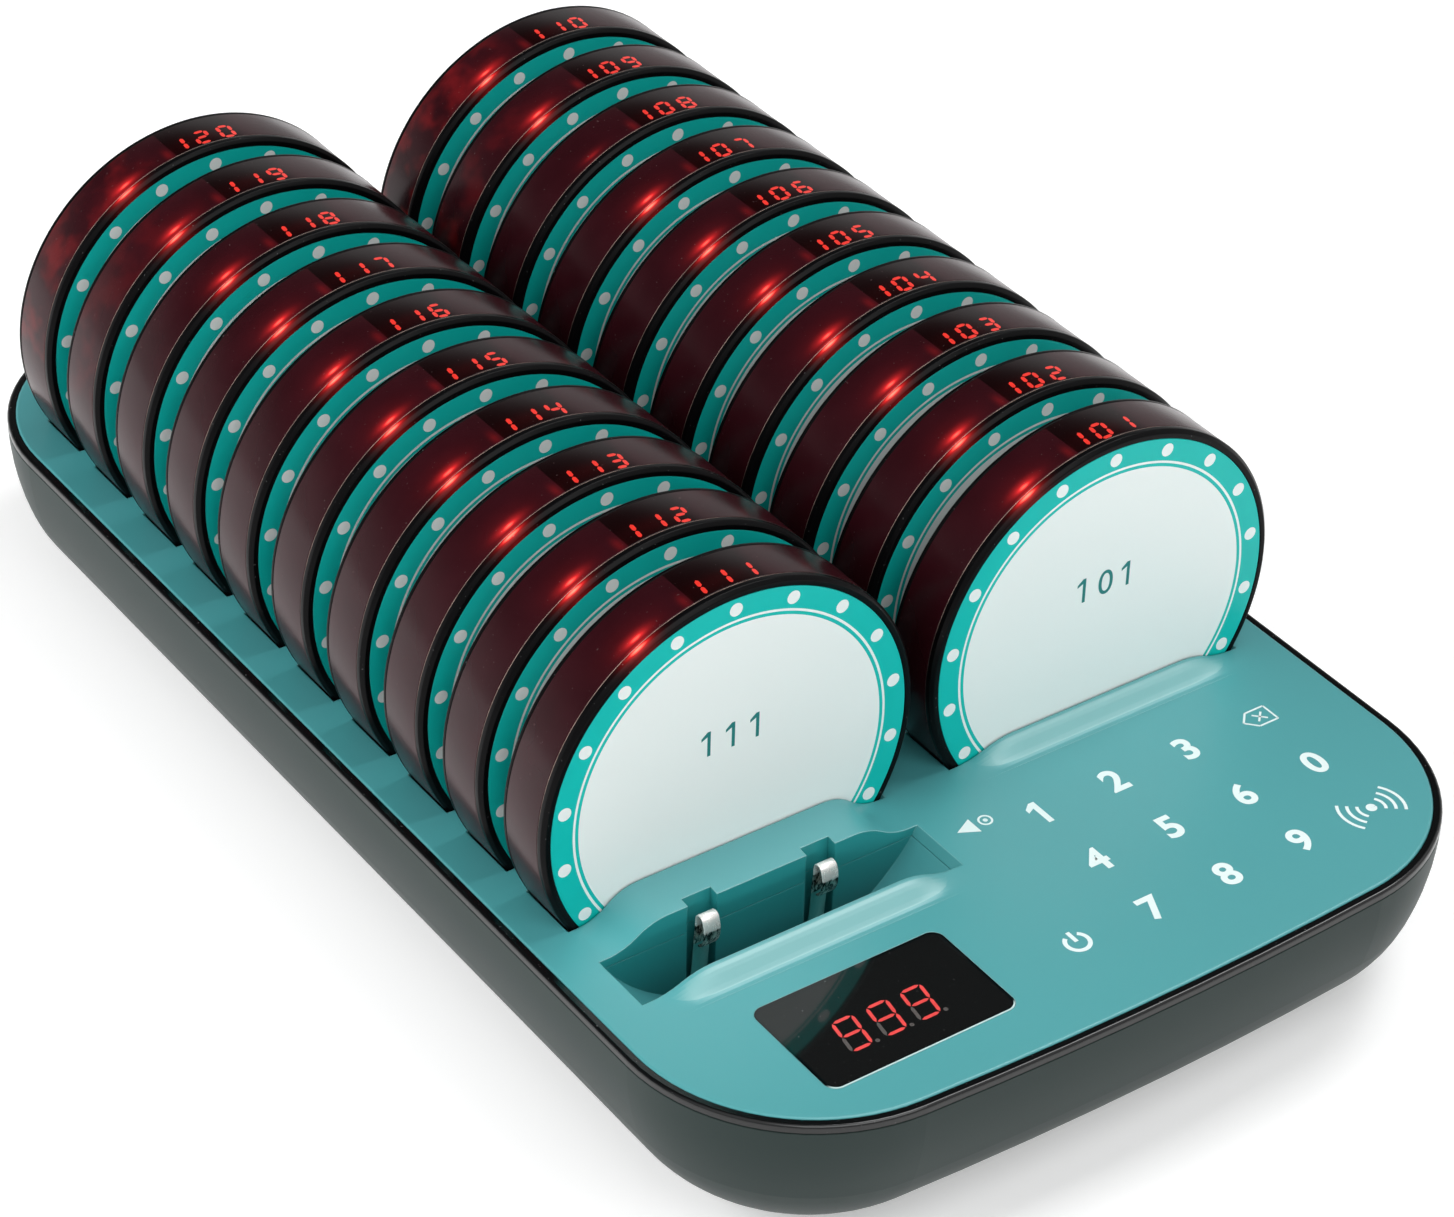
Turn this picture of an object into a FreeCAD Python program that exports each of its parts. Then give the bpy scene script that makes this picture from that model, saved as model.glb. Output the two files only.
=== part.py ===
import FreeCAD, Part
import Sketcher
import math
import os

# Guest pager system: a charging base with a touch keypad and twenty round pagers in two rows.
# Millimetres. +Z is up, the keypad end faces -Y, the origin is on the table under the middle
# of the base. Every length is kept in the sheet "Sizes" and reaches the pieces as a formula.

VECTOR = FreeCAD.Vector
UP = VECTOR(0, 0, 1)
doc = FreeCAD.newDocument("GuestPagerSystem")
sheet = doc.addObject("Spreadsheet::Sheet", "Sizes")
kept = []


# ---------------------------------------------------------------- sizes that carry their formula

class Size:
    """A number together with the formula over the sheet that gives it."""

    def __init__(self, number, formula):
        self.number = float(number)
        self.formula = formula

    def __float__(self):
        return self.number

    def __add__(self, other):
        return combine(self, "+", other, float(self) + float(other))

    def __radd__(self, other):
        return combine(other, "+", self, float(other) + float(self))

    def __sub__(self, other):
        return combine(self, "-", other, float(self) - float(other))

    def __rsub__(self, other):
        return combine(other, "-", self, float(other) - float(self))

    def __mul__(self, other):
        return combine(self, "*", other, float(self) * float(other))

    def __rmul__(self, other):
        return combine(other, "*", self, float(other) * float(self))

    def __truediv__(self, other):
        return combine(self, "/", other, float(self) / float(other))

    def __neg__(self):
        return combine(0, "-", self, -float(self))


def formula_of(value):
    return value.formula if isinstance(value, Size) else "(%r)" % float(value)


def combine(left, sign, right, number):
    return Size(number, "(%s %s %s)" % (formula_of(left), sign, formula_of(right)))


def root(value):
    return Size(math.sqrt(float(value)), "sqrt(%s)" % formula_of(value))


def size(alias, number, meaning):
    """Write one driving dimension into the sheet and return it."""
    row = size.rows = getattr(size, "rows", 0) + 1
    sheet.set("A%d" % row, meaning)
    sheet.set("B%d" % row, repr(number))
    sheet.setAlias("B%d" % row, alias)
    return Size(number, "Sizes." + alias)


# ---------------------------------------------------------------- driving dimensions

# Base outline and height
base_width = size("base_width", 206.0, "width of the base at its seam")
base_length = size("base_length", 352.0, "length of the base over its bowed ends")
corner_radius = size("corner_radius", 45.0, "corner radius of the base seen from above")
end_radius = size("end_radius", 1000.0, "radius of the slight bow of the two ends")
feet_stand = size("feet_stand", 2.0, "height of the shell above the table")
shell_height = size("shell_height", 39.6, "height of the bottom shell")
wall_arc = size("wall_arc", 65.0, "radius of the upper part of the shell's curved wall")
foot_arc = size("foot_arc", 28.0, "radius where the shell's wall turns under")
shell_wall = size("shell_wall", 2.6, "wall of the bottom shell")
lap_depth = size("lap_depth", 3.0, "height of the lap joint at the seam")
lap_inset = size("lap_inset", 1.2, "wall left outside the lap joint")
floor_lap = size("floor_lap", 3.0, "width of the curved wall's flat foot")
seam_gap = size("seam_gap", 0.3, "open seam between shell and trim ring")
trim_height = size("trim_height", 2.1, "height of the cover's top above the seam")
trim_width = size("trim_width", 2.0, "width of the visible trim ring")
trim_drop = size("trim_drop", 0.3, "step from the cover's top down to the trim ring")
trim_round = size("trim_round", 0.8, "rounding of the trim ring's outer edge")
ledge_width = size("ledge_width", 3.0, "width of the ledge that carries the cover")
ledge_thickness = size("ledge_thickness", 1.4, "thickness of that ledge")
cover_thickness = size("cover_thickness", 2.4, "thickness of the cover")
cover_round = size("cover_round", 0.6, "rounding of the cover's edge")
close_fit = size("close_fit", 0.1, "gap between pieces that drop into each other")

# Rows of pagers and their wells
column_offset = size("column_offset", 50.0, "each row's distance from the middle")
row_pitch = size("row_pitch", 23.88, "spacing of the pagers in a row")
first_pager = size("first_pager", 81.8, "distance of the first pager in front of the middle")
set_slot_gap = size("set_slot_gap", 27.7, "spacing from the first pager to the setting slot")
slot_width = size("slot_width", 16.2, "width of a slot")
slot_radius = size("slot_radius", 47.8, "radius of a slot's floor")
pager_lift = size("pager_lift", 24.0, "height of a pager's centre above the cover")
well_wall = size("well_wall", 1.8, "wall of the wells under the cover")
ridge_height = size("ridge_height", 6.0, "height of the ridges between the slots")
ridge_front_height = size("ridge_front_height", 3.2, "height of a ridge at its front end")
ridge_flat = size("ridge_flat", 24.0, "half width of a ridge's level top")
ridge_reach = size("ridge_reach", 39.5, "half width of a ridge at its foot")
swell_run = size("swell_run", 7.2, "length over which a ridge rises from the flat")
ridge_lip = size("ridge_lip", 0.04, "height of a ridge where it starts")
notch_offset = size("notch_offset", 15.3, "contact notches' distance from the row's middle")
notch_width = size("notch_width", 7.5, "width of a contact notch")
notch_depth = size("notch_depth", 2.5, "depth of a contact notch behind the slot's wall")

# Pagers
pager_radius = size("pager_radius", 47.5, "outer radius of a pager")
pager_thickness = size("pager_thickness", 15.6, "thickness of a pager")
label_radius = size("label_radius", 45.35, "radius of the printed label")
label_thickness = size("label_thickness", 0.4, "thickness of the label")
label_recess = size("label_recess", 0.5, "depth of the label's recess")
bezel_bevel = size("bezel_bevel", 0.8, "bevel of the pager's two edges")
bezel_side = size("bezel_side", 2.2, "width of the front shell at the rim")
back_side = size("back_side", 1.6, "width of the rear shell at the rim")
face_wall = size("face_wall", 1.6, "wall of the pager's shells")
lens_thickness = size("lens_thickness", 2.2, "thickness of the smoked rim lens")
spigot_wall = size("spigot_wall", 1.6, "wall of the spigots inside the lens")
spigot_depth = size("spigot_depth", 2.0, "depth of the spigots inside the lens")
pcb_radius = size("pcb_radius", 40.0, "radius of a pager's circuit board")
pcb_thickness = size("pcb_thickness", 1.2, "thickness of a pager's circuit board")
pager_screw_circle = size("pager_screw_circle", 36.0, "radius of the pager's screw circle")
pager_screw_radius = size("pager_screw_radius", 1.1, "radius of a pager's screws")
pager_screw_length = size("pager_screw_length", 10.7, "length of a pager's screws under the head")
pager_head_radius = size("pager_head_radius", 1.9, "radius of a pager's screw heads")
pager_head_height = size("pager_head_height", 1.1, "height of a pager's screw heads")
pager_boss_radius = size("pager_boss_radius", 2.7, "radius of the bosses in a pager")
battery_width = size("battery_width", 36.0, "width of a pager's battery")
battery_height = size("battery_height", 28.0, "height of a pager's battery")
battery_thickness = size("battery_thickness", 4.2, "thickness of a pager's battery")
battery_drop = size("battery_drop", 2.0, "battery's middle below the pager's centre")
motor_radius = size("motor_radius", 5.0, "radius of the vibration motor")
motor_thickness = size("motor_thickness", 3.2, "thickness of the vibration motor")
motor_side = size("motor_side", 20.0, "vibration motor to the right of the pager's centre")
motor_rise = size("motor_rise", 10.0, "vibration motor above the pager's centre")
sounder_radius = size("sounder_radius", 6.0, "radius of a pager's sounder")
sounder_thickness = size("sounder_thickness", 3.6, "thickness of a pager's sounder")
sounder_side = size("sounder_side", 20.0, "sounder to the left of the pager's centre")
sounder_rise = size("sounder_rise", 8.0, "sounder above the pager's centre")
led_radius = size("led_radius", 1.3, "radius of a lamp on the pager's board")
led_thickness = size("led_thickness", 1.0, "thickness of those lamps")
led_circle = size("led_circle", 38.0, "radius of the circle of lamps")
display_width = size("display_width", 17.6, "width of the number display at the rim")
display_depth = size("display_depth", 9.6, "size of that display across the rim")
display_height = size("display_height", 5.4, "height of that display")
display_level = size("display_level", 37.0, "underside of that display above the pager's centre")
display_back = size("display_back", -0.5, "that display's middle behind the pager's middle")
pad_width = size("pad_width", 6.0, "width of a charging pad")
pad_height = size("pad_height", 9.0, "height of a charging pad")
pad_drop = size("pad_drop", 27.0, "distance of the charging pads below the pager's centre")
pad_thickness = size("pad_thickness", 1.1, "thickness of a charging pad")

# Charging contacts
contact_width = size("contact_width", 4.2, "width of a contact leaf")
contact_sheet = size("contact_sheet", 0.4, "thickness of a contact leaf")
contact_bulge = size("contact_bulge", 1.75, "how far a leaf's tongue stands in front of its stem")
contact_tongue = size("contact_tongue", 6.2, "height of a leaf's tongue")
contact_hook = size("contact_hook", 0.7, "radius of the hook at the tongue's lower end")
contact_top = size("contact_top", 3.0, "height of a leaf's tip above the cover")
contact_behind = size("contact_behind", 0.25, "gap from a pressed leaf to its pager")
contact_lean = size("contact_lean", 5.0, "lean of the free leaves, in degrees")
holder_height = size("holder_height", 1.4, "height of a leaf's holder on its board")
holder_width = size("holder_width", 6.0, "width of a leaf's holder")
holder_depth = size("holder_depth", 3.0, "depth of a leaf's holder")

# Boards, bosses and screws in the base
board_thickness = size("board_thickness", 1.6, "thickness of the circuit boards")
charge_board_width = size("charge_board_width", 52.0, "width of a charging board")
charge_board_level = size("charge_board_level", 13.0, "underside of the charging boards")
boss_meet = size("boss_meet", 12.0, "level where the bosses of shell and cover meet")
boss_radius = size("boss_radius", 4.2, "radius of the screw bosses")
screw_radius = size("screw_radius", 1.5, "radius of the cover screws")
screw_length = size("screw_length", 16.0, "length of the cover screws under the head")
screw_head_radius = size("screw_head_radius", 2.9, "radius of their heads")
screw_head_height = size("screw_head_height", 2.2, "height of their heads")
rear_boss_side = size("rear_boss_side", 41.0, "rear cover screws from the base's sides")
rear_boss_end = size("rear_boss_end", 24.0, "rear cover screws from the base's end")
small_screw_radius = size("small_screw_radius", 1.25, "radius of the board screws")
small_screw_length = size("small_screw_length", 6.0, "length of the board screws under the head")
small_head_radius = size("small_head_radius", 2.3, "radius of the board screws' heads")
small_head_height = size("small_head_height", 1.6, "height of the board screws' heads")
post_radius = size("post_radius", 3.0, "radius of the posts that carry the boards")
thread_fit = size("thread_fit", 0.03, "gap round a screw in its pilot hole")
hole_fit = size("hole_fit", 0.2, "gap round a screw in a clearance hole")
foot_radius = size("foot_radius", 7.0, "radius of a rubber foot")
foot_recess = size("foot_recess", 0.8, "depth of a foot's recess")
foot_side = size("foot_side", 43.0, "feet from the base's sides")
foot_end = size("foot_end", 39.0, "end feet from the base's ends")
vent_width = size("vent_width", 26.0, "length of a vent slot in the floor")
vent_slot = size("vent_slot", 2.5, "width of a vent slot")
vent_pitch = size("vent_pitch", 6.0, "spacing of the vent slots")
vent_start = size("vent_start", -84.0, "first vent slot's edge, along the base")
lap_reach = size("lap_reach", 4.0, "how far inside the wall the lap's cut reaches")
floor_overlap = size("floor_overlap", 1.0, "how far the floor stays inside the curved wall's foot")
charge_front = size("charge_front", 7.0, "board in front of the first contact of a row")
charge_back = size("charge_back", 145.0, "rear edge of the charging boards")

# Display, keypad and electronics at the front
window_x = size("window_x", -50.4, "centre of the display window, across")
window_y = size("window_y", -145.9, "centre of the display window, along")
window_width = size("window_width", 48.2, "width of the display window")
window_depth = size("window_depth", 29.2, "depth of the display window")
window_round = size("window_round", 3.0, "corner radius of the display window")
window_sheet = size("window_sheet", 1.6, "thickness of the display window")
digits_x = size("digits_x", -51.5, "centre of the three figures, across")
digits_y = size("digits_y", -148.3, "centre of the three figures, along")
module_width = size("module_width", 32.0, "width of the figure module")
module_depth = size("module_depth", 14.5, "depth of the figure module")
module_room = size("module_room", 1.0, "play of the figure module in the cover's opening")
main_board_drop = size("main_board_drop", 9.4, "main board's top below the cover's top")
main_board_left = size("main_board_left", -74.0, "left edge of the main board")
main_board_right = size("main_board_right", 80.0, "right edge of the main board")
main_board_front = size("main_board_front", -161.0, "front edge of the main board")
main_board_back = size("main_board_back", -131.0, "rear edge of the main board")
keypad_left = size("keypad_left", -11.0, "left edge of the touch sensor")
keypad_step_x = size("keypad_step_x", 8.0, "left edge of the sensor's rear part")
keypad_step_y = size("keypad_step_y", -121.0, "front edge of the sensor's rear part")
keypad_right = size("keypad_right", 86.0, "right edge of the touch sensor")
keypad_front = size("keypad_front", -157.0, "front edge of the touch sensor")
keypad_back = size("keypad_back", -104.0, "rear edge of the touch sensor")
keypad_sheet = size("keypad_sheet", 1.0, "thickness of the touch sensor")
header_x = size("header_x", 40.0, "keypad connector's place, across")
header_y = size("header_y", -146.0, "keypad connector's place, along")
header_width = size("header_width", 14.0, "width of the keypad connector")
header_depth = size("header_depth", 4.0, "depth of the keypad connector")
radio_x = size("radio_x", 20.0, "radio module's place, across")
radio_y = size("radio_y", -147.0, "radio module's place, along")
radio_width = size("radio_width", 18.0, "width of the radio module")
radio_depth = size("radio_depth", 22.0, "depth of the radio module")
radio_height = size("radio_height", 3.0, "height of the radio module")
antenna_radius = size("antenna_radius", 2.4, "radius of the coiled antenna")
antenna_length = size("antenna_length", 24.0, "length of the coiled antenna")
buzzer_x = size("buzzer_x", 56.0, "base sounder's place, across")
buzzer_y = size("buzzer_y", -148.0, "base sounder's place, along")
buzzer_height = size("buzzer_height", 5.0, "height of the base's sounder")

# Power inlet and switch at the rear
inlet_level = size("inlet_level", 27.0, "height of the inlet and the switch")
panel_depth = size("panel_depth", 5.5, "depth of the rear panel's recess at the seam")
panel_width = size("panel_width", 50.0, "width of the recessed rear panel")
panel_height = size("panel_height", 17.0, "height of the recessed rear panel")
jack_x = size("jack_x", -12.0, "inlet's distance from the middle")
jack_collar = size("jack_collar", 4.9, "radius of the inlet's collar")
jack_body = size("jack_body", 11.2, "side of the inlet's body")
jack_length = size("jack_length", 12.0, "length of the inlet's body behind the panel")
jack_bore = size("jack_bore", 3.15, "radius of the inlet's bore")
jack_pin = size("jack_pin", 1.0, "radius of the inlet's centre pin")
jack_depth = size("jack_depth", 9.5, "depth of the inlet's bore")
switch_x = size("switch_x", 12.0, "switch's distance from the middle")
switch_width = size("switch_width", 15.6, "width of the switch's body")
switch_height = size("switch_height", 10.4, "height of the switch's body")
switch_wall = size("switch_wall", 0.8, "wall of the switch's body")
switch_depth = size("switch_depth", 9.0, "depth of the switch behind the panel")
switch_flange = size("switch_flange", 1.0, "thickness and overhang of the switch's flange")
rocker_width = size("rocker_width", 12.2, "width of the rocker")
rocker_height = size("rocker_height", 8.2, "height of the rocker")
rocker_proud = size("rocker_proud", 1.3, "how far the rocker stands out of the panel")
rocker_tilt = size("rocker_tilt", 8.0, "tilt of the rocker each way, in degrees")
rocker_pin = size("rocker_pin", 1.0, "radius of the rocker's pivot pins")
pivot_depth = size("pivot_depth", 2.0, "depth of the rocker's pivot behind the panel")
pin_fit = size("pin_fit", 0.05, "gap round the rocker's pivot pins")
inlet_board_depth = size("inlet_board_depth", 18.9, "depth of the inlet board in front of the panel")
inlet_screw_side = size("inlet_screw_side", 18.0, "inlet board's screws from the middle")
inlet_screw_front = size("inlet_screw_front", 4.0, "those screws behind the board's front edge")
inlet_board_half = size("inlet_board_half", 22.0, "half width of the inlet board")
lead_radius = size("lead_radius", 1.5, "radius of the power lead")
charge_lead_radius = size("charge_lead_radius", 1.2, "radius of the charging leads")

doc.recompute()

# Levels and places that follow from them
shell_top = feet_stand + shell_height
top = shell_top + seam_gap + trim_height
cover_under = top - cover_thickness
foot_inset = wall_arc - root((wall_arc - foot_arc) * (wall_arc - foot_arc)
                             - (shell_height - foot_arc) * (shell_height - foot_arc))
floor_top = feet_stand + shell_wall
axis_level = top + pager_lift
set_slot_y = -(first_pager + set_slot_gap)
charge_board_top = charge_board_level + board_thickness
main_board_top = top - main_board_drop
main_board_under = main_board_top - board_thickness
sink_top = floor_top + screw_head_height - shell_wall / 2
panel_y = base_length / 2 - panel_depth
panel_back = panel_y - shell_wall
inlet_board_top = inlet_level - jack_body / 2
inlet_board_front = panel_back - inlet_board_depth
contact_level = charge_board_top + holder_height + close_fit
contact_back = pager_thickness / 2 + contact_behind + contact_sheet / 2 + contact_bulge
columns = {"left": -column_offset, "right": column_offset}
PAGERS_IN_ROW = 10
VENTS = 8
SWELL_STEPS = 8
ALL_ROUND = 360


# ---------------------------------------------------------------- helpers for the document

def bind(thing, prop, value):
    """Give a property its number, and its formula where it has one."""
    if isinstance(value, Size):
        thing.setExpression(prop, value.formula)
    else:
        thing.setExpression(prop, formula_of(value))


def place(thing, x=0, y=0, z=0):
    for axis, value in zip("xyz", (x, y, z)):
        if isinstance(value, Size) or value:
            bind(thing, "Placement.Base." + axis, value)
    return thing


def keep(thing, label):
    """Name a finished sub-part; the label is also its file's name."""
    thing.Label = label
    kept.append(thing)
    return thing


def block(name, x, y, z):
    """A box between pairs of planes."""
    box = doc.addObject("Part::Box", name)
    for prop, pair in zip(("Length", "Width", "Height"), (x, y, z)):
        bind(box, prop, pair[1] - pair[0] if isinstance(pair[1], Size) else pair[1] - float(pair[0]))
    return place(box, x[0], y[0], z[0])


def around(middle, width):
    return (middle - width / 2, middle + width / 2)


def rod(name, radius, length, x=0, y=0, z=0, along="z"):
    """A cylinder from a point along one axis."""
    cylinder = doc.addObject("Part::Cylinder", name)
    bind(cylinder, "Radius", radius)
    bind(cylinder, "Height", length)
    turns = {"x": (VECTOR(0, 1, 0), 90), "y": (VECTOR(1, 0, 0), -90), "z": (UP, 0)}
    cylinder.Placement.Rotation = FreeCAD.Rotation(*turns[along])
    return place(cylinder, x, y, z)


def group(name, things):
    compound = doc.addObject("Part::Compound", name)
    compound.Links = things
    return compound


def copy(name, thing, x=0, y=0, z=0):
    return place(group(name, [thing]), x, y, z)


def fuse(name, things):
    joined = doc.addObject("Part::MultiFuse", name)
    joined.Shapes = things
    joined.Refine = False
    return joined


def cut(name, base, tool):
    result = doc.addObject("Part::Cut", name)
    result.Base = base
    result.Tool = tool
    result.Refine = False
    return result


def common(name, first, second):
    result = doc.addObject("Part::Common", name)
    result.Base = first
    result.Tool = second
    result.Refine = False
    return result


def new_body(name):
    return doc.addObject("PartDesign::Body", name)


def new_sketch(body, name, role, level=None):
    """A sketch on one of its body's own origin planes, at a level above it."""
    sketch = body.newObject("Sketcher::SketchObject", name)
    plane = [item for item in body.Origin.OriginFeatures if item.Role == role][0]
    sketch.AttachmentSupport = [(plane, "")]
    sketch.MapMode = "FlatFace"
    if level is not None:
        bind(sketch, "AttachmentOffset.Base.z", level)
    return sketch


def drive(sketch, kind, *arguments):
    """One driving constraint, bound to the sheet."""
    *geometry, value = arguments
    index = sketch.addConstraint(Sketcher.Constraint(kind, *geometry, float(value)))
    bind(sketch, "Constraints[%d]" % index, value)


def line(start, end):
    return Part.LineSegment(VECTOR(float(start[0]), float(start[1]), 0),
                            VECTOR(float(end[0]), float(end[1]), 0))


def arc(centre, radius, start, end):
    circle = Part.Circle(VECTOR(float(centre[0]), float(centre[1]), 0), UP, float(radius))
    return Part.ArcOfCircle(circle, start, end)


def polygon(sketch, corners):
    """A closed outline of straight lines with every corner placed from the origin."""
    first = sketch.GeometryCount
    count = len(corners)
    for index in range(count):
        sketch.addGeometry(line(corners[index], corners[(index + 1) % count]), False)
    for index in range(count):
        following = first + (index + 1) % count
        sketch.addConstraint(Sketcher.Constraint("Coincident", first + index, 2, following, 1))
    for index, (x, y) in enumerate(corners):
        drive(sketch, "DistanceX", -1, 1, first + index, 1, x)
        drive(sketch, "DistanceY", -1, 1, first + index, 1, y)


def outline(sketch, inset):
    """The base's outline seen from above, moved inwards: straight sides, bowed ends, round corners."""
    first = sketch.GeometryCount
    half = base_width / 2 - inset
    corner = corner_radius - inset
    bow = end_radius - inset
    bow_centre = base_length / 2 - end_radius
    centre_x = float(base_width / 2 - corner_radius)
    reach = math.sqrt(float(end_radius - corner_radius) ** 2 - centre_x ** 2)
    centre_y = float(bow_centre) + reach
    turn = math.atan2(reach, centre_x)
    side = float(half)
    shapes = [line((side, -centre_y), (side, centre_y)),
              arc((centre_x, centre_y), corner, 0, turn),
              arc((0, bow_centre), bow, turn, math.pi - turn),
              arc((-centre_x, centre_y), corner, math.pi - turn, math.pi),
              line((-side, centre_y), (-side, -centre_y)),
              arc((-centre_x, -centre_y), corner, math.pi, math.pi + turn),
              arc((0, -bow_centre), bow, math.pi + turn, 2 * math.pi - turn),
              arc((centre_x, -centre_y), corner, 2 * math.pi - turn, 2 * math.pi)]
    sketch.addGeometry(shapes, False)
    for index in range(8):
        following = first + (index + 1) % 8
        sketch.addConstraint(Sketcher.Constraint("Tangent", first + index, 2, following, 1))
    for other in (3, 5, 7):
        sketch.addConstraint(Sketcher.Constraint("Equal", first + 1, first + other))
    sketch.addConstraint(Sketcher.Constraint("Equal", first + 2, first + 6))
    drive(sketch, "Radius", first + 1, corner)
    drive(sketch, "Radius", first + 2, bow)
    drive(sketch, "DistanceX", -1, 1, first, 1, half)
    drive(sketch, "DistanceX", -1, 1, first + 4, 1, -half)
    for upright in (0, 4):
        sketch.addConstraint(Sketcher.Constraint("Vertical", first + upright))
    for bowed, centre in ((2, bow_centre), (6, -bow_centre)):
        sketch.addConstraint(Sketcher.Constraint("PointOnObject", first + bowed, 3, -2))
        drive(sketch, "DistanceY", -1, 1, first + bowed, 3, centre)


def rounded_rectangle(sketch, x, y, radius):
    """A rectangle between pairs of lines with round corners."""
    first = sketch.GeometryCount
    x0, x1, y0, y1 = (float(value) for value in (*x, *y))
    r = float(radius)
    quarter = math.pi / 2
    shapes = [line((x1, y0 + r), (x1, y1 - r)), arc((x1 - r, y1 - r), r, 0, quarter),
              line((x1 - r, y1), (x0 + r, y1)), arc((x0 + r, y1 - r), r, quarter, 2 * quarter),
              line((x0, y1 - r), (x0, y0 + r)), arc((x0 + r, y0 + r), r, 2 * quarter, 3 * quarter),
              line((x0 + r, y0), (x1 - r, y0)), arc((x1 - r, y0 + r), r, 3 * quarter, 4 * quarter)]
    sketch.addGeometry(shapes, False)
    for index in range(8):
        following = first + (index + 1) % 8
        sketch.addConstraint(Sketcher.Constraint("Tangent", first + index, 2, following, 1))
    for other in (3, 5, 7):
        sketch.addConstraint(Sketcher.Constraint("Equal", first + 1, first + other))
    sketch.addConstraint(Sketcher.Constraint("Vertical", first))
    sketch.addConstraint(Sketcher.Constraint("Horizontal", first + 2))
    drive(sketch, "Radius", first + 1, radius)
    drive(sketch, "DistanceX", -1, 1, first, 1, x[1])
    drive(sketch, "DistanceX", -1, 1, first + 4, 1, x[0])
    drive(sketch, "DistanceY", -1, 1, first + 2, 1, y[1])
    drive(sketch, "DistanceY", -1, 1, first + 6, 1, y[0])


def pad(body, sketch, length, name):
    feature = body.newObject("PartDesign::Pad", name)
    feature.Profile = sketch
    bind(feature, "Length", length)
    feature.Refine = False
    return feature


def turned(name, role, corners):
    """A body turned from a profile of (radius, height) corners about the plane's upright axis."""
    body = new_body(name)
    sketch = new_sketch(body, name + "_profile", role)
    polygon(sketch, corners)
    turn = body.newObject("PartDesign::Revolution", name + "_turn")
    turn.Profile = sketch
    turn.ReferenceAxis = (sketch, ["V_Axis"])
    turn.Angle = ALL_ROUND
    turn.Refine = False
    return body


def edges_at(feature, level, inset):
    """Names of a feature's edges that lie at one level on the base's outline at one inset."""
    names = []
    for index, edge in enumerate(feature.Shape.Edges, start=1):
        box = edge.BoundBox
        flat = abs(box.ZMin - float(level)) < 1e-4 and abs(box.ZMax - float(level)) < 1e-4
        middle = edge.valueAt((edge.FirstParameter + edge.LastParameter) / 2)
        if flat and outline_inset(middle) < float(inset) + 0.05:
            names.append("Edge%d" % index)
    return names


def outline_inset(point):
    """How far a point lies inside the base's outline."""
    centre_x = float(base_width / 2 - corner_radius)
    bow_centre = float(base_length / 2 - end_radius)
    centre_y = bow_centre + math.sqrt(float(end_radius - corner_radius) ** 2 - centre_x ** 2)
    x = abs(point.x)
    y = abs(point.y)
    if x > centre_x and y > centre_y:
        return float(corner_radius) - math.hypot(x - centre_x, y - centre_y)
    to_side = float(base_width / 2) - x
    to_end = float(end_radius) - math.hypot(x, y - bow_centre)
    return min(to_side, to_end)


def round_edges(body, feature, edges, radius, name):
    fillet = body.newObject("PartDesign::Fillet", name)
    fillet.Base = (feature, edges)
    bind(fillet, "Radius", radius)
    return fillet


# ---------------------------------------------------------------- places that repeat

rear_boss_x = base_width / 2 - rear_boss_side
rear_boss_y = base_length / 2 - rear_boss_end
cover_screw_places = [(rear_boss_x, rear_boss_y), (-rear_boss_x, rear_boss_y), (0, 100), (0, 5),
                      (50, -97.5), (-68, -126), (-18, -126)]
charge_screw_places = [(-22, -64), (22, -64), (-22, 118), (22, 118)]
main_screw_places = [(-70, -134), (-24, -134), (6, -141.6), (67.7, -141.6)]
inlet_screw_places = [(inlet_screw_side * sign, inlet_board_front + inlet_screw_front) for sign in (-1, 1)]
pager_screw_angles = [45, 165, 285]
LAMP_STEP = 30


def slot_places():
    """Every slot's column and place along it, with the setting slot first."""
    places = [("set", -column_offset, set_slot_y)]
    for side, x in (("right", column_offset), ("left", -column_offset)):
        for index in range(PAGERS_IN_ROW):
            places.append((side, x, row_pitch * index - first_pager))
    return places


# ---------------------------------------------------------------- bottom shell

def wall_inset(level):
    """How far the upper part of the curved wall stands back at one level."""
    drop = shell_top - level
    return wall_arc - root(wall_arc * wall_arc - drop * drop)


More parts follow.
